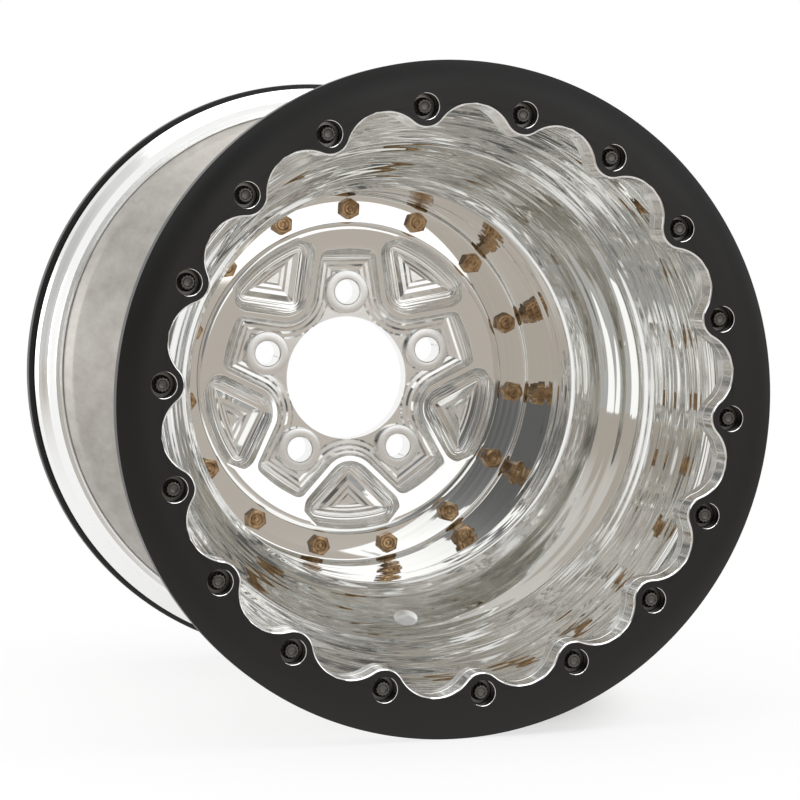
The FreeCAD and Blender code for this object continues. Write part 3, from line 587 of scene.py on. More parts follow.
def outer_half(sizes, finishes):
    """Deep half: a closed profile of rounded corners carried round, with a window that runs to the valve hole.

    The tyre side is the inside profile moved out by the sheet's thickness.
    """
    width = sizes.overall_width
    wall = sizes.rim_wall
    mouth = sizes.barrel_radius - wall
    root = sizes.root_radius
    front = sizes.joint_front
    start = sizes.ring_thickness + sizes.flange_thickness
    bends = [(MOUTH_BEND, mouth), *BARREL_BENDS]
    inside = [(start, mouth)] + bends + [(front, root), (front, sizes.flange_bore)]
    outside = [(front + RIM_FLANGE, sizes.flange_bore), (front + RIM_FLANGE, root + wall),
               (front - JOINT_STRAIGHT, root + wall)]
    outside += [(depth, radius + wall) for depth, radius in reversed(bends)] + [(start, mouth + wall)]
    inner = subdivided(rounded(inside, (*BARREL_ROUNDS, 2.4), 7), 6.0)
    outer = subdivided(rounded(outside, (0.6, 2, *reversed(BARREL_ROUNDS)), 7), 8.0)
    turns = sizes.valve_turn + full_turn(BARREL_COLUMNS)
    shell = Shell()
    polished, raw = 0, 1
    holes = []
    for path, slot, middle in ((inner, polished, VALVE_DEPTH - 1.13), (outer, raw, VALVE_DEPTH + 1.13)):
        path, low, high = with_rows(path, VALVE_DEPTH + np.linspace(-WINDOW, WINDOW, 13))
        points = revolve(path, turns, width)
        shell.grid(points[:low + 1], slot, around=True)
        shell.grid(points[high:], slot, around=True)
        shell.grid(points[low:high + 1, WINDOW_COLUMNS:BARREL_COLUMNS - WINDOW_COLUMNS + 1], slot)
        holes.append(valve_window(shell, path[low:high + 1], middle, turns, slot, sizes, width))
    shell.grid(np.stack(holes), polished, around=True)
    join = np.stack([inner[-1], outer[0]])
    shell.grid(revolve(join, turns, width), polished, around=True)
    join = np.stack([outer[-1], inner[0]])
    shell.grid(revolve(join, turns, width), raw, around=True)
    finish = [polished_barrel(finishes), raw_aluminium(finishes)]
    return shell.build("outer_half", finish, ["outer_rim_half"])


def with_rows(path, depths):
    """Puts a path's points at given depths on one of its straight runs, and tells where they start and end."""
    inside = np.flatnonzero((path[:, 0] > depths[0] - 0.4) & (path[:, 0] < depths[-1] + 0.4))
    before, after = path[:inside[0]], path[inside[-1] + 1:]
    ends = np.stack([before[-1], after[0]])
    ends = ends[np.argsort(ends[:, 0])]
    rows = np.column_stack([depths, np.interp(depths, ends[:, 0], ends[:, 1])])
    if before[-1, 0] > after[0, 0]:
        rows = rows[::-1]
    return np.concatenate([before, rows, after]), len(before), len(before) + len(depths) - 1


def valve_window(shell, window, centre, turns, slot, sizes, width):
    """Fills a gap in the barrel's grid between its edge and a round hole, on rays in the unrolled wall."""
    window = window[np.argsort(window[:, 0])]
    step = turns[1] - turns[0]
    depths = window[:, 0]
    spread_turn = np.arange(-WINDOW_COLUMNS, WINDOW_COLUMNS + 1) * step
    loop = np.concatenate([
        np.column_stack([spread_turn, np.full_like(spread_turn, depths[0])]),
        np.column_stack([np.full(len(depths) - 1, spread_turn[-1]), depths[1:]]),
        np.column_stack([spread_turn[::-1][1:], np.full(len(spread_turn) - 1, depths[-1])]),
        np.column_stack([np.full(len(depths) - 2, spread_turn[0]), depths[::-1][1:-1]]),
    ])
    slope = np.hypot(*(window[-1] - window[0])) / (depths[-1] - depths[0])
    radius = np.interp(centre, depths, window[:, 1])
    flat = np.column_stack([loop[:, 0] * radius, (loop[:, 1] - centre) * slope])
    rays = flat / np.linalg.norm(flat, axis=1)[:, None]
    rim = sizes.valve_radius * rays
    shares = np.array([0.0, 0.12, 0.45, 1.0])[:, None, None]
    spots = rim + shares * (flat - rim)
    depth = centre + spots[:, :, 1] / slope
    points = wheel_point(0.0, np.interp(depth, depths, window[:, 1]), depth, turns[0] + spots[:, :, 0] / radius,
                         width)
    shell.grid(points, slot, around=True)
    return points[0]


def inner_half(sizes, finishes):
    """Short half: a closed profile of straight runs and rounded corners, carried round the axis."""
    width = sizes.overall_width
    wall = sizes.rim_wall
    barrel = sizes.barrel_radius
    root = sizes.root_radius
    flange = sizes.joint_front + RIM_FLANGE + CENTRE_FLANGE
    bore = sizes.flange_bore
    start = width - sizes.ring_thickness - sizes.flange_thickness
    drop, low, high, rise = DROP_OUTSIDE
    outside = [(flange, bore), (flange, root + wall), (drop, root + wall), low, high, (rise, barrel),
               (start, barrel)]
    drop, low, high, rise = DROP_INSIDE
    inside = [(start, barrel - wall), (rise, barrel - wall), high, low, (drop, root),
              (flange + RIM_FLANGE, root), (flange + RIM_FLANGE, bore)]
    outer = subdivided(rounded(outside, (0.6, 8, 14, 12, 10), 8), 5.0)
    inner = subdivided(rounded(inside, (10, 12, 12, 8, 2.4), 8), 5.0)
    turns = full_turn(BARREL_COLUMNS)
    shell = Shell()
    raw, polished = 0, 1
    shell.grid(revolve(outer, turns, width), raw, around=True)
    shell.grid(revolve(inner, turns, width), polished, around=True)
    shell.grid(revolve(np.stack([outer[-1], inner[0]]), turns, width), raw, around=True)
    shell.grid(revolve(np.stack([inner[-1], outer[0]]), turns, width), polished, around=True)
    finish = [raw_aluminium(finishes), polished_barrel(finishes)]
    return shell.build("inner_half", finish, ["inner_rim_half"])


# The wheel centre: depths, radii and widths in millimetres, and steps of its grids

FACE = 257.0
DISH_RADIUS = 105.2
DISH_FALL = 0.1523
PILOT_RADIUS = 108.8
WEB_LEAN = math.radians(44.6)
APEX_CENTRE = 74.67
WEB_RIM_ROUND = 16.5
WEB_CORNER_ROUND = 12.0
WEB_RIM_REACH = 105.0
RIB_WIDTH = 3.7
LUG_RIM_REACH = 90.4
LUG_CORNER_ROUND = 6.0
LUG_BOSS_TOP = 264.0
LUG_BOSS_RADIUS = 15.1
RIM_ROUND = 0.5
APEX_STEPS = 12
FLANK_STEPS = 16
CORNER_STEPS = 10
END_STEPS = 10
ARC_STEPS = 28
# Three-sided pocket, from its middle out: (apex, reach, depth) of each edge of its stepped floor
WEB_STEPS = ((82.4, 88.6, 269.6), (80.6, 89.6, 268.9), (77.6, 90.8, 268.8), (75.2, 92.0, 268.1),
             (71.4, 93.3, 268.0), (66.5, 95.0, 266.2))
WEB_MIDDLE = 86.0
FLOOR_CORNER = 0.4
# Lug pocket, from the bore out: (apex round, end, depth) of each edge of its stepped floor
LUG_STEPS = ((32.4, 74.0, 269.6), (31.0, 75.4, 268.9), (28.6, 77.8, 268.8), (27.0, 79.4, 268.1),
             (25.0, 81.3, 268.0), (23.5, 82.8, 267.0))
# The back: radius of the hub pad, the foot of its bevel, and the depth of the web behind the pockets
PAD_RADIUS = 80.0
PAD_FOOT = 82.4
WEB_BACK = 281.0
# A pocket's wall: how far round the cutter's ball it climbs, the passes it took and the height of their ridges
WALL_TURN = math.radians(80)
WALL_PASSES = 7
WALL_RIDGE = 0.01
WALL_STEPS = 42


def face_depth(spot):
    """The dished face: a cone that sinks towards the bore by its fall times the distance in from its edge."""
    return FACE + DISH_FALL * (DISH_RADIUS - np.hypot(spot[..., 0], spot[..., 1]))


def headings(turn):
    """Unit steps away from the axis at clockwise turns: the sine across and the cosine out."""
    return np.stack([np.sin(turn), np.cos(turn)], axis=-1)


def steps_between(start, end, count_steps):
    """Even values or points from start to end, without the last."""
    share = np.linspace(0, 1, count_steps + 1)[:-1]
    start, end = np.asarray(start, dtype=float), np.asarray(end, dtype=float)
    return start + np.multiply.outer(share, end - start)


def web_loop(apex, reach, apex_round, corner_round):
    """Loop of a three-sided pocket from its apex round by the right: apex round, side, corner round, outer arc."""
    flank = apex * math.sin(WEB_LEAN)
    centre = np.array([0.0, apex + apex_round / math.sin(WEB_LEAN)])
    turn = WEB_LEAN - math.asin((flank + corner_round) / (reach - corner_round))
    corner = (reach - corner_round) * headings(turn)
    side = math.pi / 2 + WEB_LEAN
    foot = centre + apex_round * headings(side)
    shoulder = corner + corner_round * headings(side)
    right = np.concatenate([
        centre + apex_round * headings(steps_between(math.pi, side, APEX_STEPS)),
        steps_between(foot, shoulder, FLANK_STEPS),
        corner + corner_round * headings(steps_between(side, turn, CORNER_STEPS)),
        reach * headings(steps_between(turn, 0, ARC_STEPS // 2)),
    ])
    top = np.array([[0.0, reach]])
    return np.concatenate([right, top, (right * [-1, 1])[:0:-1]])


def lug_path(apex_round, end, corner_round, round_end, half_sector):
    """Edge of the lug pockets across one web, from lug to lug: end, corner, flank and the round of the V's apex."""
    flank = APEX_CENTRE * math.sin(WEB_LEAN) - apex_round
    lean = WEB_LEAN - half_sector
    square = math.pi / 2 - lean
    if round_end:
        turn = math.asin((flank - corner_round) / (end - corner_round)) - lean
        corner = (end - corner_round) * headings(turn)
        far = end * headings(steps_between(0, turn, END_STEPS))
    else:
        turn = 0.0
        out = end - corner_round
        corner = np.array([(flank - corner_round - math.sin(lean) * out) / math.cos(lean), out])
        far = steps_between([0.0, end], [corner[0], end], END_STEPS)
    bend = corner + corner_round * headings(steps_between(turn, square, CORNER_STEPS))
    shoulder = corner + corner_round * headings(square)
    side = math.pi / 2 + WEB_LEAN
    by_lug = np.concatenate([far, bend, shoulder[None]])
    across = by_lug[:, 0] * math.cos(half_sector) - by_lug[:, 1] * math.sin(half_sector)
    out = by_lug[:, 0] * math.sin(half_sector) + by_lug[:, 1] * math.cos(half_sector)
    by_web = np.column_stack([across, out])
    foot = [0.0, APEX_CENTRE] + apex_round * headings(-side)
    left = np.concatenate([
        by_web[:-1],
        steps_between(by_web[-1], foot, FLANK_STEPS),
        [0.0, APEX_CENTRE] + apex_round * headings(steps_between(-side, -math.pi, APEX_STEPS)),
    ])
    tip = np.array([[0.0, APEX_CENTRE - apex_round]])
    return np.concatenate([left, tip, (left * [-1, 1])[::-1]])


def wall_rows(floor, rim, lip, floor_depth):
    """Rows that climb from a floor's edge to the rim, and roll over on to the face.

    The wall is an arc of the cutter's ball, so its share of the way is a sine and its share of the climb is one
    less a cosine; a small sine wave on the arc's radius gives the ridges between passes.
    """
    climb = face_depth(rim) - floor_depth
    turn = np.linspace(0, WALL_TURN, WALL_STEPS + 1)[:-1]
    radius = 1 + WALL_RIDGE * np.sin(2 * math.pi * WALL_PASSES * turn / WALL_TURN)
    shares = radius * np.sin(turn) / math.sin(WALL_TURN)
    rises = (1 - radius * np.cos(turn)) / (1 - math.cos(WALL_TURN))
    rows = [(floor + share * (rim - floor), floor_depth + rise * climb) for share, rise in zip(shares, rises)]
    start, start_depth = rows[-1]
    for share in (0.25, 0.5, 0.75, 1.0):
        a, b, c = (1 - share) ** 2, 2 * share * (1 - share), share ** 2
        rows.append((a * start + b * rim + c * lip, a * start_depth + b * face_depth(rim) + c * face_depth(lip)))
    return rows


def level(spots, depth):
    """A row of points with the same depth at each of them."""
    return spots, np.full(len(spots), depth)


def stacked(rows):
    """Rows of points and depths as three arrays: across, out and depth."""
    spots = np.stack([row[0] for row in rows])
    return spots[:, :, 0], spots[:, :, 1], np.stack([row[1] for row in rows])


def wheel_centre(sizes, finishes):
    """Machined centre: stepped three-sided pockets, lug pockets that join round the bore, ribs, bosses, hub pad."""
    width = sizes.overall_width
    bore = sizes.bore_radius
    hub = sizes.hub_face
    front = sizes.joint_front
    half = math.pi / sizes.lugs
    lug_turns = 2 * half * np.arange(sizes.lugs)
    web_turns = lug_turns + half
    polished, milled, satin = 0, 1, 2
    shell = Shell()

    web_apex = APEX_CENTRE - WEB_RIM_ROUND / math.sin(WEB_LEAN)
    web_rim = web_loop(web_apex, WEB_RIM_REACH, WEB_RIM_ROUND, WEB_CORNER_ROUND)
    web_lip = web_loop(web_apex - RIM_ROUND / math.sin(WEB_LEAN), WEB_RIM_REACH + 0.1, WEB_RIM_ROUND,
                       WEB_CORNER_ROUND)
    floors = [level(web_loop(apex, reach, FLOOR_CORNER, FLOOR_CORNER), depth) for apex, reach, depth in WEB_STEPS]
    middle = level(np.tile([0.0, WEB_MIDDLE], (len(web_rim), 1)), WEB_STEPS[0][2])
    walls = wall_rows(floors[-1][0], web_rim, web_lip, WEB_STEPS[-1][2])
    rows = stacked([middle] + floors + walls[1:])
    slots = [milled, polished] * (len(floors) // 2) + [polished] * (len(walls) - 1)
    shell.grid(on_sectors(*rows, web_turns, width), slots, around=True, facing="front")

    rib = WEB_RIM_ROUND + RIB_WIDTH
    lug_rim = lug_path(rib, LUG_RIM_REACH, LUG_CORNER_ROUND, True, half)
    lug_lip = lug_path(rib - RIM_ROUND, LUG_RIM_REACH + RIM_ROUND, LUG_CORNER_ROUND + RIM_ROUND, True, half)
    floors = [level(outside_bore(lug_path(rounding, end, FLOOR_CORNER, False, half), bore), depth)
              for rounding, end, depth in LUG_STEPS]
    walls = wall_rows(floors[-1][0], lug_rim, lug_lip, LUG_STEPS[-1][2])
    inmost = level(under_boss(floors[0][0], sizes, half), LUG_STEPS[0][2])
    rows = stacked([inmost] + floors + walls[1:])
    slots = [milled, polished] * (len(floors) // 2) + [polished] * (len(walls) - 1)
    shell.grid(on_sectors(*rows, web_turns, width), slots, facing="front")
    lip = np.array([bore, bore + 6.0])[:, None, None] * headings(np.linspace(-0.3, 0.3, 15))
    shell.grid(on_sectors(lip[:, :, 0], lip[:, :, 1], LUG_STEPS[0][2] + 0.05, lug_turns, width), milled,
               facing="front")

    ribs_and_land(shell, web_lip, lug_lip, half, web_turns, width, polished)
    drop = np.array([(LUG_STEPS[0][2], bore), (hub - 0.5, bore), (hub, bore + 0.5)])
    shell.grid(revolve(drop, full_turn(240), width), satin, around=True, facing="axis")

    hole = sizes.lug_hole_radius
    boss = rounded([(hub, hole), (LUG_BOSS_TOP + 0.7, hole), (LUG_BOSS_TOP, hole + 0.7),
                    (LUG_BOSS_TOP, LUG_BOSS_RADIUS), (LUG_STEPS[0][2] + 1, LUG_BOSS_RADIUS)], (0, 0.1, 0.5), 4)
    turn = full_turn(BOLT_COLUMNS)
    shell.grid(upright(boss[None, :, 1, None], boss[None, :, 0, None], turn[None, None, :], sizes.lug_circle,
                       lug_turns, width), satin, around=True, facing="front")

    inner = (bore + 0.5) * headings(np.linspace(-half, half, 25))
    loop = sector_loop(inner, PAD_RADIUS, half, 6, 24)
    pad = hole_patch(loop, sizes.lug_circle, [(hub, hole)], (0.1, 0.5, 1.0), hub)
    shell.grid(on_sectors(*pad, lug_turns, width), satin, around=True, facing="back")
    behind = front + RIM_FLANGE + CENTRE_FLANGE
    back = rounded([(hub, PAD_RADIUS), (WEB_BACK, PAD_FOOT), (WEB_BACK, PILOT_RADIUS), (behind, PILOT_RADIUS),
                    (behind, FLANGE_EDGE)], (0.5, 0.5, 0), 3)
    edge = [(behind, FLANGE_EDGE), (front + RIM_FLANGE, FLANGE_EDGE)]
    step = [(front + RIM_FLANGE, FLANGE_EDGE), (front + RIM_FLANGE, PILOT_RADIUS)]
    for profile, facing in ((back, "back"), (edge, "rim"), (step, "front")):
        shell.grid(revolve(profile, full_turn(CENTRE_COLUMNS), width), satin, around=True, facing=facing)
    finish = [polished_centre(finishes), milled_aluminium(finishes), satin_aluminium(finishes)]
    return shell.build("centre", finish, ["wheel_centre"], outward=False)


def outside_bore(spots, bore):
    """Pushes points that fall inside the bore out to its edge."""
    radius = np.hypot(spots[:, 0], spots[:, 1])
    return spots * (np.maximum(radius, bore) / radius)[:, None]


def under_boss(spots, sizes, half):
    """The stepped floor's last edge: on to the bore by the V's apex, and hidden under the bosses elsewhere."""
    bore = sizes.bore_radius
    ends = END_STEPS + CORNER_STEPS + FLANK_STEPS
    last = spots * (bore / np.hypot(spots[:, 0], spots[:, 1]))[:, None]
    for side, part in ((-1, slice(0, ends)), (1, slice(len(spots) - ends, len(spots)))):
        lug = sizes.lug_circle * headings(side * half)
        away = spots[part] - lug
        reach = np.linalg.norm(away, axis=1)
        last[part] = lug + away * (np.minimum(reach, LUG_BOSS_RADIUS - 3.0) / reach)[:, None]
    return last


def ribs_and_land(shell, web_lip, lug_lip, half, turns, width, slot):
    """Face of the ribs and the outer band: ruled, in turn and radius, from the webs' lips to the lugs' lips."""
    corner = APEX_STEPS + FLANK_STEPS + CORNER_STEPS
    middle = len(lug_lip) // 2
    near = np.arctan2(web_lip[:, 0], web_lip[:, 1])
    near_radius = np.hypot(web_lip[:, 0], web_lip[:, 1])
    top = np.linspace(near[corner], half, END_STEPS + 1)[1:]
    near_turn = np.concatenate([near[:corner + 1], top])
    radius = np.concatenate([near_radius[:corner + 1], np.full(END_STEPS, DISH_RADIUS)])
    far = lug_lip[middle:]
    share = np.linspace(0, 1, 6)[:, None]
    turn = near_turn + share * (np.arctan2(far[:, 0], far[:, 1]) - near_turn)
    radius = radius + share * (np.hypot(far[:, 0], far[:, 1]) - radius)
    for side in (1, -1):
        spots = radius[..., None] * headings(side * turn)
        shell.grid(on_sectors(spots[..., 0], spots[..., 1], face_depth(spots), turns, width), slot, facing="front")

    arc_turn = near[corner:corner + ARC_STEPS + 1]
    land_turn = np.concatenate([top[::-1], arc_turn, -top])
    land_radius = np.concatenate([np.full(END_STEPS, DISH_RADIUS), near_radius[corner:corner + ARC_STEPS + 1],
                                  np.full(END_STEPS, DISH_RADIUS)])
    bevel = rounded([(FACE, DISH_RADIUS), (FACE + 1.0, PILOT_RADIUS), (FACE + 7, PILOT_RADIUS)], (0.3,), 3)
    spots = [land_radius[:, None] * headings(land_turn)] + [r * headings(land_turn) for depth, r in bevel]
    depths = [face_depth(spots[0])] + [np.full(len(land_turn), depth) for depth, r in bevel]
    spots = np.stack(spots)
    shell.grid(on_sectors(spots[..., 0], spots[..., 1], np.stack(depths), turns, width), slot, facing="front")


def joint_turns(sizes):
    """Turns of the joint's bolts: even steps round the circle from the top."""
    return 2 * math.pi / sizes.joint_bolts * np.arange(sizes.joint_bolts)


def joint_set(rows, sizes, finishes, name, node, spread=0.0, seed=SEED):
    """Like pieces on the joint's bolt circle, each turned a little differently."""
    spins = np.random.default_rng(seed).uniform(-spread, spread, sizes.joint_bolts)
    shell = Shell()
    points = turned_set(rows, sizes.joint_bolt_circle, joint_turns(sizes), spins, sizes.overall_width)
    shell.grid(points, around=True)
    return shell.build(name, [plated_steel(finishes)], [node])


def joint_bolt_set(sizes, finishes):
    """Hex bolts: a ringed top with a low dome, corners cut by a cone, and a shank through the flanges."""
    seat = sizes.joint_front
    top = seat - JOINT_BOLT_HEAD
    end = seat + JOINT_BOLT_LENGTH
    rows = [ring_row(0.0, top + 0.15), ring_row(1.2, top + 0.25), ring_row(2.0, top + 0.6),
            ring_row(2.3, top + 0.9), ring_row(3.3, top + 0.9), ring_row(3.7, top + 0.6),
            ring_row(4.2, top + 0.1), ring_row(4.6, top), ring_row(5.9, top),
            hex_row(JOINT_FLATS, top, (5.9, CORNER_CONE)), hex_row(JOINT_FLATS, seat - 0.25),
            hex_row(JOINT_FLATS - 0.4, seat), ring_row(3.95, seat), ring_row(3.95, end - 0.8),
            ring_row(3.2, end), ring_row(0.0, end)]
    return joint_set(rows, sizes, finishes, "joint_bolts", "centre_bolts", 0.5, SEED + 1)


def joint_washer_set(sizes, finishes):
    """Plain washers: a closed profile with small bevels, turned about each bolt's axis."""
    seat = sizes.joint_front + JOINT_STACK
    end = seat + WASHER
    rows = [ring_row(4.15, seat), ring_row(7.6, seat), ring_row(7.9, seat + 0.3), ring_row(7.9, end - 0.3),
            ring_row(7.6, end), ring_row(4.4, end), ring_row(4.15, end - 0.2), ring_row(4.15, seat)]
    return joint_set(rows, sizes, finishes, "joint_washers", "centre_washers")


def joint_nut_set(sizes, finishes):
    """Hex nuts: a bore with bevelled mouths, and flats whose corners a cone cuts at both ends."""
    seat = sizes.joint_front + JOINT_STACK + WASHER
    end = seat + NUT_HEIGHT
    rows = [ring_row(4.0, seat + 0.5), ring_row(4.5, seat), ring_row(6.0, seat),
            hex_row(JOINT_FLATS, seat, (6.0, CORNER_CONE)), hex_row(JOINT_FLATS, end, (6.0, -CORNER_CONE)),
            ring_row(6.0, end), ring_row(4.6, end), ring_row(4.0, end - 0.5), ring_row(4.0, seat + 0.5)]
    return joint_set(rows, sizes, finishes, "joint_nuts", "centre_nuts", 0.5, SEED + 2)


def sealant_bead(sizes, finishes):
    """Hand-laid band over the joint: an arch of one less the fourth power of the way across, on sine-wave edges."""
    width = sizes.overall_width
    foot = sizes.root_radius + sizes.rim_wall
    middle = sizes.joint_front + JOINT_STACK / 2
    turns = full_turn(CENTRE_COLUMNS)
    share = np.linspace(-1, 1, 17)[:, None]
    edge = SEALANT_HALF + 0.5 * np.sin(7 * turns + 1.0) + 0.25 * np.sin(19 * turns)
    height = SEALANT_HEIGHT + 0.15 * np.sin(11 * turns) + 0.12 * np.sin(23 * turns + 2.0)
    depth = middle + share * edge
    radius = foot + height * (1 - share ** 4) + 0.12 * np.sin(3 * np.pi * share + 5 * turns) * (1 - share ** 2)
    points = wheel_point(0.0, radius, depth, turns[None, :], width)
    under = wheel_point(0.0, foot + 0 * depth[[-1, 0]], depth[[-1, 0]], turns[None, :], width)
    shell = Shell()
    shell.grid(points, around=True)
    shell.grid(under, around=True)
    return shell.build("sealant_band", [silicone(finishes)], ["joint_sealant"])


# Materials

def add(tree, kind, settings=(), links=()):
    """Adds one node, sets its properties and sockets, and links its inputs; a node stands for its first output."""
    node = tree.nodes.new("ShaderNode" + kind)
    for key, value in dict(settings).items():
        if isinstance(key, str) and hasattr(node, key):
            setattr(node, key, value)
        else:
            node.inputs[key].default_value = value
    for key, source in dict(links).items():
        tree.links.new(getattr(source, "outputs", [source])[0], node.inputs[key])
    return node


def blank_finish(name):
    """A new material with an empty node tree."""
    material = bpy.data.materials.new(name)
    material.use_nodes = True
    material.node_tree.nodes.clear()
    return material, material.node_tree


def bare_metal(name, tint, rough, cloud, waves):
    """Bare metal: its roughness drifts between two values over clouds, and waves bend its reflections.

    A wave is its scale and its height in metres. Scales are repeats per metre along X, Y and Z, and Y is the
    wheel's axis, so a small X and Z and a large Y give streaks that run round the wheel.
    """
    if name in bpy.data.materials:
        return bpy.data.materials[name]
    material, tree = blank_finish(name)
    place = add(tree, "TexCoord").outputs["Object"]
    spread = add(tree, "Mapping", {"Scale": cloud}, {"Vector": place})
    clouds = add(tree, "TexNoise", {"Scale": 1.0, "Detail": 3.0}, {"Vector": spread})
    haze = add(tree, "MapRange", {"From Min": 0.3, "From Max": 0.7, "To Min": rough[0], "To Max": rough[1]},
               {"Value": clouds})
    relief = None
    for scale, height in waves:
        spread = add(tree, "Mapping", {"Scale": scale}, {"Vector": place})
        ripple = add(tree, "TexNoise", {"Scale": 1.0, "Detail": 0.0}, {"Vector": spread})
        below = {"Normal": relief} if relief else {}
        relief = add(tree, "Bump", {"Distance": height}, {"Height": ripple, **below})
    shader = add(tree, "BsdfPrincipled", {"Base Color": tint, "Metallic": 1.0},
                 {"Roughness": haze, "Normal": relief})
    add(tree, "OutputMaterial", links={"Surface": shader})
    return material


def polished_barrel(finishes):
    """Spun sheet buffed to a mirror: 12 and 5 mm ripples of the roller draw reflections into thin streaks."""
    return bare_metal("polished spun aluminium", finishes.polished, (0.015, 0.04), (10, 60, 10),
                      [((5, 80, 5), 0.0009), ((6, 200, 6), 0.0002)])


def polished_centre(finishes):
    """Machined forging buffed to a mirror, with slight waves, 16 mm long, from polishing by hand."""
    return bare_metal("polished forged aluminium", finishes.polished, (0.05, 0.1), (20, 20, 20),
                      [((60, 60, 60), 0.00003)])


def milled_aluminium(finishes):
    """Pocket floors as the cutter left them: softer than the polish, with lines of 2.5 mm cutter steps."""
    return bare_metal("milled aluminium", finishes.machined, (0.12, 0.2), (20, 20, 20), [((400, 60, 400), 0.00001)])


def satin_aluminium(finishes):
    """Faced bosses and hub pad: an even satin; the 0.3 mm grain is drawn at 1.4 mm so that it shows."""
    return bare_metal("satin faced aluminium", finishes.machined, (0.2, 0.28), (20, 20, 20),
                      [((700, 700, 700), 0.000006)])


def machined_aluminium(finishes):
    """Edges cut bright through the black, with slight chatter, 11 mm long."""
    return bare_metal("cut edge aluminium", finishes.machined, (0.07, 0.13), (20, 20, 20),
                      [((90, 40, 90), 0.00003)])


def turned_aluminium(finishes):
    """Bead seats straight from the lathe: bright bands, their 0.3 mm tool lines drawn 1 mm apart to show."""
    return bare_metal("turned aluminium", finishes.machined, (0.16, 0.26), (12, 500, 12),
                      [((12, 900, 12), 0.000006)])


def black_oxide(finishes):
    """Oiled black oxide on steel, rubbed a little brighter in 4 mm patches. Its grey, lighter than the oxide's own
    charcoal, is painted light on heads that sit in shaded pockets.
    """
    return bare_metal("black oxide steel", finishes.oxide, (0.24, 0.42), (250, 250, 250),
                      [((900, 900, 900), 0.000006)])


def counterbore_painted_light(finishes):
    """Counterbores smooth from the cutter under the black dye, with 1.6 mm chatter. Their grey metal, lighter than
    the ring's black face, is painted light that lifts the shade in the deep pockets.
    """
    return bare_metal("dyed bored aluminium", finishes.oxide, (0.2, 0.3), (60, 60, 60),
                      [((600, 600, 600), 0.000006)])


def black_anodised(finishes):
    """Dyed anodised aluminium over a fine blasted face: a deep black with a soft, even sheen."""
    name = "black anodised aluminium"
    if name in bpy.data.materials:
        return bpy.data.materials[name]
    material, tree = blank_finish(name)
    place = add(tree, "TexCoord").outputs["Object"]
    clouds = add(tree, "TexNoise", {"Scale": 14.0, "Detail": 3.0}, {"Vector": place})
    haze = add(tree, "MapRange", {"From Min": 0.3, "From Max": 0.7, "To Min": 0.36, "To Max": 0.46},
               {"Value": clouds})
    # The blasted grain is 0.1 mm on the wheel and is drawn at 0.5 mm so that it shows.
    grain = add(tree, "TexNoise", {"Scale": 2000.0, "Detail": 1.0}, {"Vector": place})
    relief = add(tree, "Bump", {"Distance": 0.000008}, {"Height": grain})
    shader = add(tree, "BsdfPrincipled", {"Base Color": finishes.black}, {"Roughness": haze, "Normal": relief})
    add(tree, "OutputMaterial", links={"Surface": shader})
    return material


def raw_aluminium(finishes):
    """Spun sheet as it left the lathe and the wash tank: pale dull grey, mottled, with lines round the wheel.

    The mottling is in patches 14 to 18 mm wide, and the lines are 2.4 mm apart.
    """
    name = "raw spun aluminium"
    if name in bpy.data.materials:
        return bpy.data.materials[name]
    material, tree = blank_finish(name)
    place = add(tree, "TexCoord").outputs["Object"]
    spread = add(tree, "Mapping", {"Scale": (70.0, 55.0, 70.0)}, {"Vector": place})
    mottle = add(tree, "TexNoise", {"Scale": 1.0, "Detail": 6.0, "Roughness": 0.7}, {"Vector": spread})
    share = add(tree, "MapRange", {"From Min": 0.35, "From Max": 0.65}, {"Value": mottle})
    tint = add(tree, "Mix", {"data_type": "RGBA", 6: finishes.stain, 7: finishes.raw}, {0: share})
    haze = add(tree, "MapRange", {"From Min": 0.3, "From Max": 0.7, "To Min": 0.46, "To Max": 0.56},
               {"Value": mottle})
    spread = add(tree, "Mapping", {"Scale": (8.0, 420.0, 8.0)}, {"Vector": place})
    lines = add(tree, "TexNoise", {"Scale": 1.0}, {"Vector": spread})
    relief = add(tree, "Bump", {"Distance": 0.00002}, {"Height": lines})
    # The sheet's own 1 mm orange peel is drawn at 3 mm so that it shows.
    peel = add(tree, "TexNoise", {"Scale": 300.0, "Detail": 3.0}, {"Vector": place})
    relief = add(tree, "Bump", {"Distance": 0.00002}, {"Height": peel, "Normal": relief})
    shader = add(tree, "BsdfPrincipled", {"Metallic": 1.0},
                 {"Base Color": tint.outputs[2], "Roughness": haze, "Normal": relief})
    add(tree, "OutputMaterial", links={"Surface": shader})
    return material


def plated_steel(finishes):
    """Passivated plating on steel: bronze, browned in patches 5 mm wide."""
    name = "bronze plated steel"
    if name in bpy.data.materials:
        return bpy.data.materials[name]
    material, tree = blank_finish(name)
    place = add(tree, "TexCoord").outputs["Object"]
    clouds = add(tree, "TexNoise", {"Scale": 220.0, "Detail": 4.0, "Roughness": 0.6}, {"Vector": place})
    share = add(tree, "MapRange", {"From Min": 0.4, "From Max": 0.66}, {"Value": clouds})
    tint = add(tree, "Mix", {"data_type": "RGBA", 6: finishes.plating, 7: finishes.plating_dark}, {0: share})
    haze = add(tree, "MapRange", {"From Min": 0.3, "From Max": 0.7, "To Min": 0.24, "To Max": 0.44},
               {"Value": clouds})
    grain = add(tree, "TexNoise", {"Scale": 1500.0}, {"Vector": place})
    relief = add(tree, "Bump", {"Distance": 0.00001}, {"Height": grain})
    shader = add(tree, "BsdfPrincipled", {"Metallic": 1.0},
                 {"Base Color": tint.outputs[2], "Roughness": haze, "Normal": relief})
    add(tree, "OutputMaterial", links={"Surface": shader})
    return material


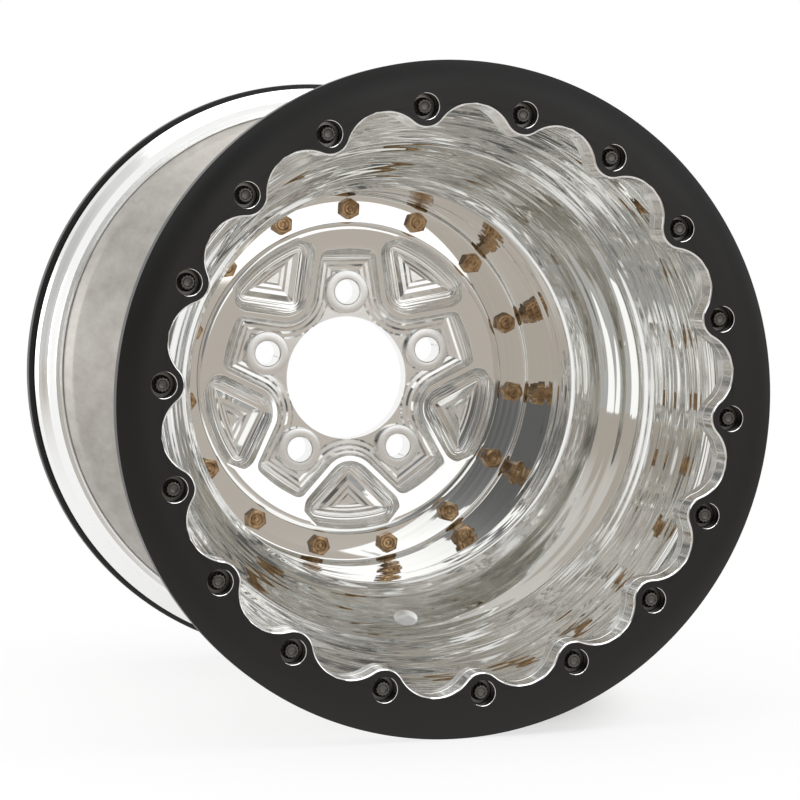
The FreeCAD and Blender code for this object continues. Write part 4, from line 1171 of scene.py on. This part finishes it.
def silicone(finishes):
    """Cured sealant: grey, slightly soft, with a skin smoothed by a finger in waves of 10 mm."""
    material, tree = blank_finish("cured silicone")
    place = add(tree, "TexCoord").outputs["Object"]
    smear = add(tree, "TexNoise", {"Scale": 90.0, "Detail": 3.0}, {"Vector": place})
    haze = add(tree, "MapRange", {"From Min": 0.3, "From Max": 0.7, "To Min": 0.35, "To Max": 0.5},
               {"Value": smear})
    relief = add(tree, "Bump", {"Distance": 0.0002}, {"Height": smear})
    shader = add(tree, "BsdfPrincipled",
                 {"Base Color": finishes.silicone, "Subsurface Weight": 0.15,
                  "Subsurface Radius": (0.002, 0.002, 0.002)},
                 {"Roughness": haze, "Normal": relief})
    add(tree, "OutputMaterial", links={"Surface": shader})
    return material


# The studio

FLOOR_RINGS = (0.0, 0.5, 1.5, 6.0, 30.0)
FLOOR_COLUMNS = 96
# Dim parts of the room, straight ahead of the wheel and in a corner left of the camera: the way there, the cosines
# from it at which it starts and is dimmest, and its light there
DIM_PARTS = (((0.0, -1.0, 0.0), -0.2, 0.8, 0.45), ((-0.489, -0.847, 0.208), 0.75, 0.98, 0.3))
# Soft boxes, with their places and sizes in metres and their shares of the lamp power
LAMP_AIM = (0.0, -0.05, 0.0)
SOFT_BOXES = (
    ("key_box", (0.78, -2.2, 0.58), (1.5, 1.2), 0.155),
    ("side_box", (2.4, -0.2, 0.9), (1.2, 1.8), 0.2),
    ("top_box", (0.0, -0.3, 2.2), (2.2, 1.6), 0.6),
    ("left_box", (-2.3, 0.3, 0.1), (1.4, 1.6), 0.55),
    ("front_box", (-1.5, -2.0, 1.7), (1.6, 1.4), 0.25),
)
GLOSSY_BOUNCES = 12


def studio_floor(stage, drop):
    """A wide pale disc; the camera and mirrors see it as near white, and it still takes the wheel's shadow."""
    turns = full_turn(FLOOR_COLUMNS)
    radius = np.array(FLOOR_RINGS)[:, None]
    x, y, z = np.broadcast_arrays(radius * np.sin(turns), radius * np.cos(turns), drop)
    points = np.stack([x, y, z], axis=-1)
    quads = np.arange(x.size).reshape(x.shape)
    quads = np.concatenate([quads, quads[:, :1]], axis=1)
    faces = np.stack([quads[:-1, :-1], quads[1:, :-1], quads[1:, 1:], quads[:-1, 1:]], axis=-1).reshape(-1, 4)
    mesh = bpy.data.meshes.new("studio_floor")
    mesh.from_pydata(points.reshape(-1, 3).tolist(), [], faces.tolist())
    material, tree = blank_finish("pale studio floor")
    place = add(tree, "TexCoord").outputs["Object"]
    away = add(tree, "VectorMath", {"operation": "LENGTH"}, {0: place})
    share = add(tree, "MapRange", {"interpolation_type": "SMOOTHSTEP", "From Min": 0.3, "From Max": 1.0,
                                   "To Min": 0.8, "To Max": 1.0}, {"Value": away.outputs["Value"]})
    # Close under the wheel the floor doesn't glow, so that its shadow is deep there.
    spread = add(tree, "Mapping", {"vector_type": "TEXTURE", "Location": (0.06, 0.05, drop),
                                   "Scale": (0.12, 0.27, 1.0)}, {"Vector": place})
    reach = add(tree, "VectorMath", {"operation": "LENGTH"}, {0: spread})
    under = add(tree, "MapRange", {"interpolation_type": "SMOOTHSTEP", "From Min": 0.5, "From Max": 1.0,
                                   "To Min": 0.1, "To Max": 1.0}, {"Value": reach.outputs["Value"]})
    share = add(tree, "Math", {"operation": "MULTIPLY"}, {0: share, 1: under})
    light = add(tree, "LightPath")
    seen = add(tree, "Math", {"operation": "MAXIMUM"},
               {0: light.outputs["Is Camera Ray"], 1: light.outputs["Is Glossy Ray"]})
    # In mirrors only the floor before the wheel is grey; beside and behind it the floor is white.
    along = add(tree, "SeparateXYZ", (), {0: place})
    behind = add(tree, "MapRange", {"From Min": -0.5, "From Max": 0.1}, {"Value": along.outputs["Y"]})
    white = add(tree, "Math", {"operation": "MAXIMUM"}, {0: light.outputs["Is Camera Ray"], 1: behind})
    shown = add(tree, "Mix", {"data_type": "RGBA", 6: stage.mirrored, 7: linear("#ffffff")}, {0: white})
    share = add(tree, "Math", {"operation": "MULTIPLY"}, {0: seen, 1: share})
    matt = add(tree, "BsdfDiffuse", {"Color": stage.floor})
    glow = add(tree, "Emission", {"Strength": 1.0}, {"Color": shown.outputs[2]})
    mixed = add(tree, "MixShader", (), {0: share, 1: matt, 2: glow})
    add(tree, "OutputMaterial", links={"Surface": mixed})
    mesh.materials.append(material)
    floor = bpy.data.objects.new("studio_floor", mesh)
    bpy.context.scene.collection.objects.link(floor)


def studio_world():
    """White where the camera looks; for everything else, pale all round but for the room's dim parts."""
    world = bpy.data.worlds.new("studio")
    world.use_nodes = True
    tree = world.node_tree
    tree.nodes.clear()
    place = add(tree, "TexCoord")
    level = None
    for way, start, end, least in DIM_PARTS:
        near = add(tree, "VectorMath", {"operation": "DOT_PRODUCT", 1: way}, {0: place.outputs["Generated"]})
        share = add(tree, "MapRange", {"interpolation_type": "SMOOTHSTEP", "From Min": start, "From Max": end,
                                       "To Min": 1.0, "To Max": least}, {"Value": near.outputs["Value"]})
        level = share if level is None else add(tree, "Math", {"operation": "MULTIPLY"}, {0: level, 1: share})
    light = add(tree, "LightPath")
    seen = add(tree, "Math", {"operation": "MAXIMUM"}, {0: level, 1: light.outputs["Is Camera Ray"]})
    sky = add(tree, "Background", {"Color": linear("#ffffff")}, {"Strength": seen})
    add(tree, "OutputWorld", links={"Surface": sky})
    bpy.context.scene.world = world


def soft_box(name, place, size, power):
    """A rectangular soft lamp turned to face the wheel."""
    lamp = bpy.data.lights.new(name, "AREA")
    lamp.shape = "RECTANGLE"
    lamp.size, lamp.size_y = size
    lamp.energy = power
    holder = bpy.data.objects.new(name, lamp)
    holder.location = place
    holder.rotation_mode = "QUATERNION"
    holder.rotation_quaternion = (Vector(LAMP_AIM) - Vector(place)).to_track_quat("-Z", "Y")
    bpy.context.scene.collection.objects.link(holder)


def photo_camera(stage):
    """A camera at the photograph's place: turned to its aim, then rolled about its own line of sight."""
    lens = bpy.data.cameras.new("camera")
    lens.lens = stage.lens
    lens.sensor_width = 36.0
    lens.clip_end = 100.0
    camera = bpy.data.objects.new("camera", lens)
    camera.location = stage.camera_place
    facing = (Vector(stage.camera_aim) - Vector(stage.camera_place)).to_track_quat("-Z", "Y")
    camera.rotation_mode = "QUATERNION"
    camera.rotation_quaternion = facing @ Quaternion((0, 0, 1), stage.camera_roll)
    bpy.context.scene.collection.objects.link(camera)
    bpy.context.scene.camera = camera


# Operators

class WHEEL_OT_clamp_rings(bpy.types.Operator):
    """Make the scalloped clamp ring at each end"""
    bl_idname = "wheel.clamp_rings"
    bl_label = "Clamp Rings"

    def execute(self, context):
        settings = wheel_settings(context)
        clamp_ring(*settings, "front_ring", "front_beadlock_ring", at_back=False)
        clamp_ring(*settings, "rear_ring", "rear_beadlock_ring", at_back=True)
        return {"FINISHED"}


class WHEEL_OT_ring_bolts(bpy.types.Operator):
    """Make the bolts of both clamp rings"""
    bl_idname = "wheel.ring_bolts"
    bl_label = "Ring Bolts"

    def execute(self, context):
        settings = wheel_settings(context)
        ring_bolt_set(*settings, "front_bolts", "front_ring_bolts", at_back=False)
        ring_bolt_set(*settings, "rear_bolts", "rear_ring_bolts", at_back=True)
        return {"FINISHED"}


class WHEEL_OT_bead_flanges(bpy.types.Operator):
    """Make the turned bead flange at each end"""
    bl_idname = "wheel.bead_flanges"
    bl_label = "Bead Flanges"

    def execute(self, context):
        settings = wheel_settings(context)
        bead_flange(*settings, "front_flange", "front_bead_flange", at_back=False)
        bead_flange(*settings, "rear_flange", "rear_bead_flange", at_back=True)
        return {"FINISHED"}


class WHEEL_OT_rim_halves(bpy.types.Operator):
    """Make the two spun halves of the barrel"""
    bl_idname = "wheel.rim_halves"
    bl_label = "Rim Halves"

    def execute(self, context):
        settings = wheel_settings(context)
        outer_half(*settings)
        inner_half(*settings)
        return {"FINISHED"}


class WHEEL_OT_centre(bpy.types.Operator):
    """Make the pocketed centre with its lug bosses"""
    bl_idname = "wheel.centre"
    bl_label = "Wheel Centre"

    def execute(self, context):
        wheel_centre(*wheel_settings(context))
        return {"FINISHED"}


class WHEEL_OT_joint(bpy.types.Operator):
    """Make the joint's bolts, washers, nuts and sealant"""
    bl_idname = "wheel.joint"
    bl_label = "Bolted Joint"

    def execute(self, context):
        settings = wheel_settings(context)
        for make in (joint_bolt_set, joint_washer_set, joint_nut_set, sealant_bead):
            make(*settings)
        return {"FINISHED"}


class WHEEL_OT_stage(bpy.types.Operator):
    """Make the floor, the lamps and the camera"""
    bl_idname = "wheel.stage"
    bl_label = "Studio"

    def execute(self, context):
        scene = context.scene
        stage = scene.wheel_stage
        scene.view_settings.view_transform = "Standard"
        # Light crosses the polished barrel many times before it leaves.
        scene.cycles.glossy_bounces = GLOSSY_BOUNCES
        studio_world()
        studio_floor(stage, -scene.wheel_sizes.ring_radius)
        for name, place, size, share in SOFT_BOXES:
            soft_box(name, place, size, stage.lamp_power * share)
        photo_camera(stage)
        return {"FINISHED"}


class WHEEL_PT_panel(bpy.types.Panel):
    """Lists the wheel's sizes, finishes and steps"""
    bl_idname = "WHEEL_PT_panel"
    bl_label = "Drag Racing Wheel"
    bl_space_type = "VIEW_3D"
    bl_region_type = "UI"
    bl_category = "Wheel"

    def draw(self, context):
        for group in ("wheel_sizes", "wheel_finishes", "wheel_stage"):
            settings = getattr(context.scene, group)
            box = self.layout.box()
            for name in settings.__annotations__:
                box.prop(settings, name)
        for step in STEPS:
            self.layout.operator(step.bl_idname)


STEPS = (WHEEL_OT_rim_halves, WHEEL_OT_bead_flanges, WHEEL_OT_clamp_rings, WHEEL_OT_ring_bolts, WHEEL_OT_centre,
         WHEEL_OT_joint, WHEEL_OT_stage)
GROUPS = (WheelSizes, WheelFinishes, WheelStage)
CLASSES = GROUPS + STEPS + (WHEEL_PT_panel,)


def register():
    """Adds the classes, and the property groups to every scene."""
    for item in CLASSES:
        bpy.utils.register_class(item)
    bpy.types.Scene.wheel_sizes = bpy.props.PointerProperty(type=WheelSizes)
    bpy.types.Scene.wheel_finishes = bpy.props.PointerProperty(type=WheelFinishes)
    bpy.types.Scene.wheel_stage = bpy.props.PointerProperty(type=WheelStage)


def unregister():
    """Takes away what register added, last first."""
    del bpy.types.Scene.wheel_stage
    del bpy.types.Scene.wheel_finishes
    del bpy.types.Scene.wheel_sizes
    for item in reversed(CLASSES):
        bpy.utils.unregister_class(item)


def main():
    """Registers the add-on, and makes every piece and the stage."""
    register()
    bpy.ops.wheel.rim_halves()
    bpy.ops.wheel.bead_flanges()
    bpy.ops.wheel.clamp_rings()
    bpy.ops.wheel.ring_bolts()
    bpy.ops.wheel.centre()
    bpy.ops.wheel.joint()
    bpy.ops.wheel.stage()


if __name__ == "__main__":
    main()
